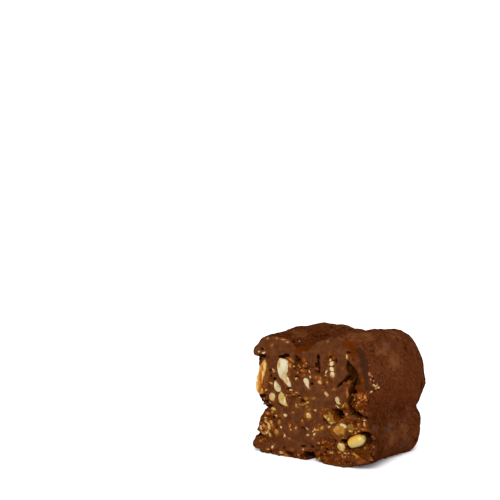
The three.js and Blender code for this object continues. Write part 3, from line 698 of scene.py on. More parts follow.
# name: stops, middle y, half size into the log, how far the sliced front stands proud (None where it
# is whole), squareness, breaks, kind
NUTS = {
    "nut_upper_left": ([[(284.8, 357.4, 3.6), (284.0, 360, 5.0), (283.2, 364, 5.6), (282.6, 368, 5.0), (283.0, 372, 4.4), (283.6, 376, 3.8), (285.2, 379.4, 3.2)]], 0.35, 0.85, 0.16, 3.6, 1, "white"),
    "nut_upper_left_tail": ([[(284.8, 376.5, 3.2), (286.8, 380, 3.5), (288.9, 383.6, 3.0), (290.8, 387.8, 1.8)]], 0.30, 0.60, 0.13, 3.2, 0, "white"),
    "nut_left_edge": ([[(264.9, 360.8, 2.2), (264.2, 365, 3.8), (262.6, 370, 3.8), (261.4, 375, 3.8), (260.5, 380, 4.1), (259.6, 385, 4.2), (259.6, 389.5, 3.8), (261.3, 394.2, 2.2)]], 0.45, 0.95, 0.26, 3.4, 1, "toasted"),
    "nut_slip_left": ([[(275.2, 380.4, 1.0), (275.7, 383, 2.1), (276.6, 386, 3.0), (278.4, 389, 3.2), (279.8, 391.4, 2.2)]], 0.20, 0.50, 0.13, 3.4, 0, "white"),
    "nut_cream_left": ([[(272.6, 392.4, 1.8), (272.2, 395, 3.1), (272.5, 398, 3.3), (273.3, 401.2, 1.9)]], 0.25, 0.55, 0.14, 3.0, 1, "cream"),
    "nut_yellow_left": ([[(281.0, 391.6, 1.6), (281.2, 394.5, 2.9), (281.7, 398, 3.8), (282.6, 401, 3.4), (284.6, 403.6, 2.2), (286.4, 405.8, 1.2)]], 0.30, 0.60, 0.14, 3.0, 1, "cream"),
    "nut_centre_high": ([[(305.6, 377.6, 2.0), (305.9, 380.5, 2.9), (306.8, 384, 2.7), (308.2, 388.0, 1.4)]], 0.20, 0.50, 0.13, 3.2, 1, "white"),
    "nut_broken_high": ([[(329.8, 361.2, 1.4), (331.0, 363.4, 2.4), (332.6, 365.6, 1.6)], [(329.8, 367.0, 1.3), (331.5, 368.8, 2.2), (333.8, 370.8, 1.5)],
                         [(330.4, 371.8, 1.6), (332.2, 374.2, 2.7), (333.6, 377.6, 1.5)]], 0.15, 0.40, 0.15, 2.8, 2, "white"),
    "nut_centre_low": ([[(305.2, 415.8, 1.6), (307.0, 415.2, 2.7), (309.2, 415.4, 2.8), (311.4, 416.2, 1.6)]], 0.15, 0.45, 0.14, 3.0, 1, "cream"),
    "nut_right_slip": ([[(336.4, 396.6, 1.4), (337.2, 399.2, 2.4), (338.4, 402, 2.1), (340.5, 404.0, 1.0)]], 0.15, 0.42, 0.14, 2.9, 1, "white"),
    "nut_long": ([[(328.8, 410.8, 2.4), (329.4, 414.5, 3.9), (330.2, 418, 3.9), (331.0, 421.5, 3.7), (331.4, 425, 2.2)]], 0.25, 0.50, 0.14, 2.8, 1, "umber"),
    "nut_brown_low": ([[(316.8, 429.6, 1.8), (319.6, 428.8, 2.6), (322.6, 428.0, 2.7), (325.8, 427.6, 1.8)]], 0.25, 0.50, 0.12, 2.8, 1, "umber"),
    "nut_amber": ([[(331.6, 430.6, 2.0), (334.4, 430.6, 5.0), (338, 430.2, 7.2), (342.2, 429.2, 6.4), (346.6, 428.6, 3.6)]], 0.30, 0.90, 0.40, 2.6, 1, "amber"),
    "nut_pale_low": ([[(339.8, 441.6, 2.2), (340.5, 445.0, 4.0), (342.1, 448.0, 4.2), (344.4, 451.2, 2.6)]], 0.30, 0.60, 0.22, 2.8, 0, "cream"),
    "nut_oval": ([[(349.4, 443.9, 5.2), (352.8, 443.1, 5.8), (357.6, 441.7, 5.9), (361.8, 440.3, 5.8), (365.4, 439.3, 5.4)]], 0.35, 0.80, None, 2.75, 0, "yellow"),
}
# Streaks and patches on them, by colour: picture position and half sizes in pixels. The pale ones are partly the nuts'
# own pale streaks, partly painted highlights (the amber nut's white glint, glints on the low nuts).
NUT_MARKS = {
    "pale": [(257.4, 376, 1.0, 8), (256.7, 386, 1.3, 5), (264.8, 366.5, 1.3, 5.5), (263.1, 377, 1.2, 7), (262.4, 387, 0.9, 4), (342.4, 424.5, 3.0, 1.0), (344.6, 426.2, 1.6, 0.9),
             (283.6, 363, 3.2, 6), (275.2, 385, 1.0, 3.4), (274.6, 396.0, 1.2, 3.4), (328.2, 418.4, 1.0, 2.0), (331.4, 422.8, 2.6, 1.8), (322.8, 427.4, 2.6, 1.6),
             (325.9, 415.8, 1.0, 1.6), (340.4, 444.2, 1.6, 1.0), (284.6, 400.6, 1.1, 3.4), (306.8, 413.6, 1.8, 1.0)],
    "golden": [(333.6, 430.6, 1.8, 2.6), (279.0, 363.5, 1.3, 4.5), (289.2, 361.0, 0.9, 3.0), (286.2, 381.2, 1.9, 2.4), (283.5, 372.2, 0.7, 1.3), (260.6, 378, 1.2, 9), (259.8, 389, 1.6, 4), (266.6, 368, 1.0, 5),
               (262.2, 367, 1.0, 4), (282.2, 398.4, 1.4, 2.4), (304.6, 384.6, 1.0, 2.6), (336.6, 427.0, 2.8, 2.2), (310.4, 417.6, 1.4, 1.0), (339.2, 447.4, 1.8, 2.4), (343.6, 448.6, 1.2, 1.8)],
    "brown": [(265.6, 380, 1.2, 8), (266.4, 372, 0.8, 4), (345.4, 431.0, 1.8, 3.6), (341.0, 434.6, 2.6, 1.8), (333.8, 425.9, 2.0, 1.0), (327.0, 412.0, 2.0, 2.0), (317.4, 429.8, 1.8, 1.4),
              (289.0, 365.4, 0.9, 2.6), (333.8, 416.6, 1.0, 4.0), (361.0, 440.6, 0.9, 0.9)],
}

nut_objects = []
for i, (name, (spines, ny, c, proud, square, breaks, kind)) in enumerate(NUTS.items()):
    rng = np.random.RandomState(500 + i)
    parts = []
    for stops in spines:
        v, f, along_it, across_it = spine_piece(rng, 6 if len(stops) > 4 else 5, stops, ny, c, breaks, 0.006 if kind == "yellow" else 0.03, square, proud, 0.25 if kind == "yellow" else 0.6)
        v[:, 2] = np.maximum(v[:, 2], 0.0)
        parts.append((v, f, along_it, across_it))
    v, f, (su, sv) = join(parts)
    marks = [(key, painted(v, zones, 1.6, 0.05)) for key, zones in NUT_MARKS.items()]
    ob = mesh_object(name + "_piece", v, f, [("stain", stain_of(v)), ("su", su), ("sv", sv), *marks])
    nut_objects.append((ob, name, kind))
say("nuts")

# Smaller bits of nut, placed as they show: picture position, half length and half width in pixels,
# direction of the long side in the picture in degrees (down is positive), kind.
BITS = [
    # The first two white bits stand for glints in a hollow under the top-left lobe: painted highlights.
    (263.7, 352.8, 2.3, 1.0, -25, "white"), (259.2, 351.6, 1.2, 0.8, 20, "white"), (268, 338.4, 0.8, 0.7, 0, "cream"),
    (276.8, 338.3, 0.9, 0.8, 0, "cream"), (272.3, 345, 1.4, 0.7, -60, "cream"), (283.6, 339.7, 2.2, 0.8, 12, "pink"),
    (287.5, 342, 1.4, 1.1, 20, "pink"), (273.2, 369.2, 0.9, 0.8, 0, "cream"), (274.2, 371.2, 1.0, 0.8, 0, "cream"),
    (271, 383, 1.6, 1.0, 30, "cream"), (291, 390, 1.5, 0.9, 10, "cream"), (266, 390, 1.3, 1.0, 0, "cream"),
    (286.8, 395.3, 1.0, 0.8, 0, "cream"), (290, 395.5, 0.7, 0.6, 0, "cream"), (293.7, 394.3, 0.9, 0.8, 0, "cream"),
    (296.8, 392.8, 1.5, 0.9, 20, "cream"), (299.3, 398, 1.2, 0.9, 40, "white"), (296.5, 378.7, 1.2, 1.0, 0, "cream"),
    (302.5, 370.6, 1.8, 1.1, 30, "orange"), (304.4, 375.5, 1.2, 0.9, 0, "orange"), (308.6, 387.9, 1.3, 0.9, 30, "white"),
    (309.6, 371.8, 1.4, 0.7, 80, "white"), (310.3, 377, 1.6, 0.9, 70, "white"), (306.2, 363.3, 0.9, 0.8, 0, "cream"),
    (304.6, 360.3, 1.1, 0.8, 30, "orange"), (303.4, 366, 1.2, 0.8, 60, "orange"), (290.5, 359.5, 1.8, 1.0, 60, "orange"),
    (290.5, 365.5, 2.2, 1.2, 80, "toasted"), (292.5, 361.5, 1.6, 1.1, 40, "amber"), (281.5, 373, 1.2, 0.7, 80, "toasted"),
    (279.5, 365, 2.6, 0.9, 85, "cream"), (328, 341.5, 0.8, 0.6, 0, "pink"), (347.1, 356.5, 2.7, 0.9, 82, "cream"),
    (331.0, 354.5, 1.2, 0.6, 40, "rust"), (332.5, 359, 1.3, 0.7, -50, "rust"), (326.4, 371.8, 2.0, 0.8, -60, "white"),
    (326.1, 375.5, 1.2, 0.8, 0, "white"), (327.2, 382.3, 1.1, 0.8, 80, "cream"), (333, 378, 1.2, 0.8, 60, "pink"),
    (316.3, 377, 1.2, 1.0, 0, "pink"), (320.1, 382.2, 2.0, 1.5, 60, "cream"), (320.4, 378.2, 1.6, 0.9, 80, "orange"),
    (333.8, 389.3, 1.5, 1.0, 0, "orange"), (326.6, 393.9, 2.7, 1.4, 55, "cream"), (323.5, 390, 0.9, 0.7, 0, "pink"),
    (343.4, 371, 2.2, 0.7, 80, "rust"), (349.8, 381.5, 2.7, 1.4, 10, "rust"), (347.4, 392.5, 2.8, 0.6, 85, "orange"),
    (273.9, 409, 2.5, 1.7, 20, "cream"), (272.6, 412, 1.0, 1.5, 0, "orange"), (285.1, 414.8, 2.1, 1.6, 15, "white"),
    (286.5, 404.2, 1.9, 0.8, 60, "white"), (296.5, 405.2, 2.0, 0.9, 85, "cream"), (276.2, 415.6, 0.9, 0.8, 0, "white"),
    (267.6, 413.5, 2.0, 1.4, 20, "orange"), (266.4, 421.8, 2.8, 0.9, 48, "cream"), (269.2, 426.4, 3.4, 0.9, 74, "cream"), (272.6, 425.4, 2.0, 1.0, 60, "toasted"), (263.6, 425.4, 2.2, 1.0, 60, "toasted"), (266.2, 428.6, 2.0, 0.9, 30, "orange"),
    (268.0, 431.0, 1.8, 0.9, 50, "toasted"), (262.2, 431.4, 1.6, 0.9, 60, "toasted"), (271.6, 422.3, 2.2, 1.3, 60, "toasted"),
    (270.6, 428.8, 2.8, 1.6, 70, "cream"), (270, 434.5, 3.0, 0.9, 68, "cream"), (264.5, 430, 1.8, 1.3, 30, "toasted"),
    (266.4, 432.7, 1.1, 0.8, 0, "white"), (263.6, 433.4, 1.8, 1.1, 20, "orange"), (261.2, 428, 2.8, 1.2, 80, "cream"),
    (279.6, 421.8, 2.6, 1.2, 80, "orange"), (281.3, 426.8, 1.3, 0.8, 70, "white"), (276.6, 432, 2.6, 1.9, 85, "amber"),
    (276.3, 430.8, 1.4, 1.1, 85, "cream"), (284.6, 434.8, 2.3, 0.8, 62, "white"), (289.5, 438.5, 1.0, 0.8, 0, "cream"),
    (290, 426, 2.0, 0.8, 85, "orange"), (290.8, 429.6, 1.0, 0.7, 60, "cream"), (296, 427.6, 1.4, 0.9, 80, "cream"),
    (307.8, 429.2, 2.0, 0.8, 38, "white"), (308.4, 434.7, 1.4, 1.1, -20, "white"), (302.6, 421, 2.0, 1.0, 80, "orange"),
    (293.3, 412.5, 0.9, 0.7, 0, "cream"), (309.2, 409.6, 1.8, 0.7, -25, "cream"), (306.3, 398.6, 2.4, 1.6, 20, "olive"),
    (304.5, 404.0, 3.0, 1.6, -20, "olive"), (307.5, 402.5, 1.6, 1.2, 0, "toasted"), (314.6, 429.6, 1.9, 1.1, 70, "cream"),
    (314.8, 434.2, 2.0, 1.1, -70, "white"), (313, 438.6, 1.3, 1.1, 20, "orange"), (273, 447.3, 1.6, 1.2, 80, "white"),
    (274.6, 444.9, 1.0, 0.7, 60, "orange"), (260.8, 440.8, 1.3, 0.9, 0, "orange"), (281.2, 452.7, 1.8, 1.3, 20, "cream"),
    (303.4, 449.4, 1.3, 1.0, 0, "cream"), (292, 449.6, 0.9, 0.7, 0, "orange"), (338.3, 407, 1.9, 0.8, 55, "white"),
    (336.6, 405.5, 1.5, 0.7, -60, "white"), (340.8, 403, 1.0, 0.6, 40, "cream"), (315.5, 410.3, 1.4, 0.9, 10, "cream"),
    (322.6, 409.5, 0.9, 0.7, 0, "cream"), (325.6, 409.4, 0.9, 0.7, 0, "pink"), (321.3, 413, 0.9, 0.6, 60, "pink"),
    (325.4, 416.4, 2.2, 0.8, 52, "cream"), (327.2, 425.6, 1.6, 0.8, 60, "orange"),
    (329.1, 427, 1.6, 1.1, -40, "cream"), (319.6, 424.6, 0.9, 0.6, 0, "pink"), (318, 429.6, 1.8, 1.2, 0, "toasted"),
    (346, 413.9, 1.8, 1.1, 45, "pink"), (343, 416.6, 1.0, 0.7, 0, "orange"), (349, 417.4, 1.1, 0.7, 0, "orange"),
    (342.7, 419.4, 1.6, 0.8, -10, "orange"), (345.6, 404.4, 2.6, 1.2, 75, "olive"), (344.8, 429.7, 1.2, 0.9, 0, "white"),
    # The white bit at (341.8, 424.6) stands for the glint on the amber nut: a painted highlight.
    (343.4, 437.6, 1.0, 0.7, 60, "cream"), (341.8, 424.6, 3.1, 1.0, 22, "white"), (350.6, 427.8, 3.6, 3.4, 60, "umber"),
    (350.5, 431.2, 2.0, 1.2, 20, "cream"), (353.9, 428.6, 1.0, 0.8, 0, "pink"), (358.6, 424.6, 1.8, 1.1, 70, "orange"),
    (359.4, 430.7, 1.6, 0.9, -50, "cream"), (363.6, 429.4, 2.9, 1.0, 8, "orange"), (364.8, 424.4, 2.3, 1.2, 80, "cream"),
    (364.6, 420.3, 1.3, 0.7, 0, "white"), (356.8, 405.8, 1.3, 0.8, -60, "cream"), (360.8, 397.6, 2.2, 1.1, -10, "toasted"),
    (364.8, 396.8, 1.7, 1.0, 70, "toasted"), (362.6, 399.8, 2.2, 0.9, -20, "orange"), (359.4, 394.6, 1.8, 0.9, -40, "orange"), (366.0, 399.8, 1.4, 0.9, 60, "orange"), (361.4, 403.4, 1.8, 0.9, 30, "rust"), (358.4, 403, 1.8, 1.0, -50, "orange"), (359.4, 411, 1.2, 0.8, 0, "orange"),
    (362, 395.2, 2.0, 1.1, 0, "orange"), (358, 396.6, 1.8, 1.0, 80, "orange"), (331.2, 452.2, 1.9, 1.4, 20, "cream"),
    (318.8, 443, 1.4, 0.8, 85, "cream"), (322, 447, 1.2, 0.8, 60, "orange"), (355.8, 455.4, 3.9, 0.9, 44, "amber"),
    (373.4, 455.4, 1.8, 1.2, 30, "orange"), (365, 448, 0.9, 0.8, 0, "pink"), (343, 457, 1.6, 0.9, 60, "orange"),
    (336.7, 458.6, 1.0, 0.7, 0, "orange"), (371.8, 459.7, 1.2, 0.7, 30, "pink"), (340, 452.5, 1.8, 1.0, 10, "orange"),
    (346, 451.5, 1.4, 0.9, -40, "orange"), (298.5, 454.5, 2.0, 1.1, 70, "orange"), (287.5, 455.6, 1.6, 0.8, 30, "toasted"),
    (268.5, 449.5, 1.6, 0.9, 20, "toasted"), (320.5, 452, 1.6, 1.0, -30, "rust"), (326, 458.4, 1.4, 0.8, 20, "rust"),
    (352.5, 460.4, 1.4, 0.8, 0, "rust"), (361, 462, 1.2, 0.7, 0, "rust"),
    (373.0, 385.0, 1.7, 1.1, 30, "cream"), (377.6, 387.2, 1.6, 1.2, 40, "cream"), (376.8, 384.4, 1.6, 0.9, 80, "pink"), (375.0, 386.4, 1.8, 0.9, -30, "toasted"), (371.6, 376.4, 1.2, 0.8, 60, "pink"),
    (370.4, 392.2, 1.8, 0.8, -35, "cream"), (369.3, 374.2, 2.6, 1.0, 80, "pink"), (370.2, 379.4, 1.6, 1.0, 70, "pink"),
    (375.2, 388.6, 1.6, 0.9, -30, "pink"), (373.0, 381.0, 1.2, 0.8, 0, "pink"), (368.7, 365.0, 0.9, 0.6, 0, "pink"),
    (257.9, 368.0, 2.8, 0.9, 85, "orange"), (299.0, 341.6, 1.0, 0.8, 0, "pink"), (301.5, 404.6, 2.6, 1.2, 10, "olive"),
    (298.2, 407.0, 2.4, 1.2, 10, "olive"), (306.8, 407.0, 1.8, 1.1, 80, "olive"), (313.5, 398.4, 2.6, 1.3, 10, "olive"),
    (299.0, 370.8, 1.3, 0.9, 30, "orange"), (297.4, 372.8, 1.0, 0.8, 0, "orange"), (303.5, 371.0, 1.0, 0.8, 0, "cream"),
    (298.8, 366.4, 2.6, 1.6, 60, "umber"), (293.6, 366.6, 1.2, 0.8, 0, "cream"), (350.2, 381.2, 2.0, 0.8, 20, "orange"),
]
KINDS = ("white", "cream", "toasted", "amber", "orange", "pink", "rust", "olive", "umber")


rng = np.random.RandomState(77)
at = seen([(u, v_) for u, v_, *_ in BITS])
parts = []
halos = []
for (u, v_, a, b, ang, kind), spot in zip(BITS, at):
    if np.isnan(spot).any():
        continue
    t = math.radians(ang)
    ax, az = on_cut_vector(u, v_, 2 * a * math.cos(t), 2 * a * math.sin(t))
    bx, bz = on_cut_vector(u, v_, -2 * b * math.sin(t), 2 * b * math.cos(t))
    uu, ss, _ = np.linalg.svd(np.array([[ax, bx], [az, bz]]) / 2)
    lean = math.atan2(uu[1, 0], uu[0, 0])
    la, lb = ss[0], max(ss[1], 0.07)
    lc = 0.45 * (la + lb)
    v, f = chip(rng, 3, np.array([spot[0], spot[1] + lc * 0.25, spot[2]]), la * 1.08, lb * 1.12, lc, lean,
                rng.randint(3, 7), 0.06, rng.uniform(2.0, 3.6), None, rng.uniform(-0.3, 0.3))
    v[:, 2] = np.maximum(v[:, 2], 0.0)
    parts.append((v, f, float(rng.rand()), float(KINDS.index(kind)), stain_of(v, 0.10)))
    halos.append((spot[0], spot[2], la, lb, lean, rng.rand()))
bit_v, bit_f, (bit_rnd, bit_kind, bit_stain) = join(parts)
bits = mesh_object("nut_bits", bit_v, bit_f, [("rnd", bit_rnd), ("kind", bit_kind), ("stain", bit_stain)])
say("bits", len(bit_f))

# Browned fringes of the chocolate round the nuts.
for spines, *_ in NUTS.values():
    for stops in spines:
        (x0, z0), (x1, z1) = on_cut(*stops[0][:2]), on_cut(*stops[-1][:2])
        halos.append(((x0 + x1) / 2, (z0 + z1) / 2, math.hypot(x1 - x0, z1 - z0) / 2, PX * max(w for *_, w in stops), math.atan2(z1 - z0, x1 - x0), rng.rand()))
halo = np.zeros(len(p))
face_points = np.nonzero(on_face > 0.3)[0]
fx, fz = x[face_points], z[face_points]
best = np.zeros(len(fx))
for hx, hz, la, lb, lean, r in halos:
    cl, sl = math.cos(lean), math.sin(lean)
    du, dv = (fx - hx) * cl + (fz - hz) * sl, -(fx - hx) * sl + (fz - hz) * cl
    m = np.sqrt((du / la) ** 2 + (dv / lb) ** 2)
    best = np.maximum(best, (0.45 + 0.55 * r) * (1 - ramp((m - 1) * math.sqrt(la * lb), 0.02, 0.30)))
halo[face_points] = best
add_attribute(body, "halo", halo)

# Fine crumbs in the crumbled zones and, thinly, over the whole cut.
rng = np.random.RandomState(78)
want = 750
uv = np.stack([rng.uniform(252, 380, 16000), rng.uniform(330, 466, 16000)], 1)
pos = np.array([on_cut(u, v_) for u, v_ in uv])
inside = skin_value(np.stack([pos[:, 0], np.zeros(len(pos)), pos[:, 1]], 1)) < -0.12
chance = 0.05 + 0.85 * zone_mask(pos[:, 0], pos[:, 1], CRUMBLY) - 0.04 * zone_mask(pos[:, 0], pos[:, 1], SMOOTH)
clump = 0.5 + 0.5 * noise(np.stack([pos[:, 0], np.zeros(len(pos)), pos[:, 1]], 1), 0.9, 91)
keep = inside & (rng.rand(len(uv)) < chance * (0.2 + 0.9 * clump))
uv = uv[keep][:want]
spots = seen(uv)
spots = spots[~np.isnan(spots).any(1)]
spots = spots[spots[:, 1] < 0.75]
library = [lump_shape(rng, BALLS[2][0], 4, 0.07, 2.4) for _ in range(24)]
parts = []
for spot in spots:
    r = 0.06 + 0.16 * rng.rand() ** 2.6
    half = np.array([r * rng.uniform(1.0, 1.9), r * rng.uniform(0.8, 1.2), r * rng.uniform(0.7, 1.2)])
    turn, lean = rng.uniform(-0.6, 0.6), rng.uniform(0, math.pi)
    v = library[rng.randint(len(library))] * half
    ct, st, cl, sl = math.cos(turn), math.sin(turn), math.cos(lean), math.sin(lean)
    v = np.stack([v[:, 0] * ct - v[:, 1] * st, v[:, 0] * st + v[:, 1] * ct, v[:, 2]], 1)
    v = np.stack([v[:, 0] * cl - v[:, 2] * sl, v[:, 1], v[:, 0] * sl + v[:, 2] * cl], 1)
    pick = rng.rand()
    kind = "rust" if pick < 0.82 else "orange" if pick < 0.93 else "toasted" if pick < 0.96 else "cream" if pick < 0.99 else "pink"
    v = v + spot + (0, 0.55 * r, 0)
    v[:, 2] = np.maximum(v[:, 2], 0.0)
    parts.append((v, BALLS[2][1], float(rng.rand()), float(KINDS.index(kind)), 0.0))
cr_v, cr_f, (cr_rnd, cr_kind, cr_stain) = join(parts)
crumbs = mesh_object("crumbs", cr_v, cr_f, [("rnd", cr_rnd), ("kind", cr_kind), ("stain", cr_stain)])
say("crumbs", len(parts), len(cr_f))


# =====================================================================================
# Materials
LIGHT = 2.0  # how much brighter than its own colour a plain front surface shows
SIDE = 0.88  # the same for the skin, as a part of LIGHT
VEIL = 0.002  # shine that lies over every colour


def lin(r, g, b, light=1.0, veil=VEIL):
    """The colour, as it shows at the front in 0..255, to the linear colour that nodes hold."""
    out = []
    for c in (r, g, b):
        c = c / 255.0
        c = c / 12.92 if c <= 0.04045 else ((c + 0.055) / 1.055) ** 2.4
        out.append(max(c - veil, 0.06 * c) / (LIGHT * light))
    return (*out, 1.0)


class Nodes:
    """A short way to write a material's nodes."""

    def __init__(self, name):
        self.mat = bpy.data.materials.new(name)
        self.mat.use_nodes = True
        self.tree = self.mat.node_tree
        self.tree.nodes.clear()
        self.out = self.tree.nodes.new("ShaderNodeOutputMaterial")
        self.shader = self.tree.nodes.new("ShaderNodeBsdfPrincipled")
        self.tree.links.new(self.shader.outputs[0], self.out.inputs[0])
        self.coord = self.tree.nodes.new("ShaderNodeTexCoord").outputs["Object"]

    def put(self, node, key, value):
        if isinstance(value, bpy.types.NodeSocket):
            self.tree.links.new(value, node.inputs[key])
        else:
            node.inputs[key].default_value = value

    def set(self, key, value):
        self.put(self.shader, key, value)

    def attribute(self, name):
        n = self.tree.nodes.new("ShaderNodeAttribute")
        n.attribute_name = name
        return n.outputs["Fac"]

    def stretch(self, scale):
        n = self.tree.nodes.new("ShaderNodeMapping")
        self.put(n, "Vector", self.coord)
        n.inputs["Scale"].default_value = scale
        return n.outputs[0]

    def drawn(self, direction, length):
        """Coordinates in which a texture's features are drawn out along a direction."""
        n = self.tree.nodes.new("ShaderNodeMapping")
        n.vector_type = "TEXTURE"
        self.put(n, "Vector", self.coord)
        n.inputs["Rotation"].default_value = Vector(direction).to_track_quat("X", "Z").to_euler()
        n.inputs["Scale"].default_value = (length, 1.0, 1.0)
        return n.outputs[0]

    def noise(self, size_mm, detail=3.0, rough=0.55, vector=None, distort=0.0):
        n = self.tree.nodes.new("ShaderNodeTexNoise")
        self.put(n, "Vector", vector or self.coord)
        n.inputs["Scale"].default_value = 1000.0 / size_mm
        n.inputs["Detail"].default_value = detail
        n.inputs["Roughness"].default_value = rough
        n.inputs["Distortion"].default_value = distort
        return n.outputs["Fac"]

    def spots(self, size_mm, vector=None, feature="F1"):
        n = self.tree.nodes.new("ShaderNodeTexVoronoi")
        n.feature = feature
        self.put(n, "Vector", vector or self.coord)
        n.inputs["Scale"].default_value = 1000.0 / size_mm
        return n.outputs["Distance"]

    def math(self, op, a, b=0.0, clamp=False):
        n = self.tree.nodes.new("ShaderNodeMath")
        n.operation, n.use_clamp = op, clamp
        self.put(n, 0, a)
        self.put(n, 1, b)
        return n.outputs[0]

    def ramp(self, value, low, high, to_low=0.0, to_high=1.0):
        n = self.tree.nodes.new("ShaderNodeMapRange")
        n.interpolation_type = "SMOOTHSTEP"
        self.put(n, "Value", value)
        for key, v in (("From Min", low), ("From Max", high), ("To Min", to_low), ("To Max", to_high)):
            n.inputs[key].default_value = v
        return n.outputs[0]

    def mix(self, amount, a, b):
        n = self.tree.nodes.new("ShaderNodeMix")
        n.data_type = "RGBA"
        self.put(n, "Factor", amount)
        self.put(n, 6, a)
        self.put(n, 7, b)
        return n.outputs[2]

    def bump(self, height, distance_mm, strength=1.0, under=None):
        n = self.tree.nodes.new("ShaderNodeBump")
        n.inputs["Strength"].default_value = strength
        n.inputs["Distance"].default_value = distance_mm * MM
        self.put(n, "Height", height)
        if under is not None:
            self.put(n, "Normal", under)
        return n.outputs[0]


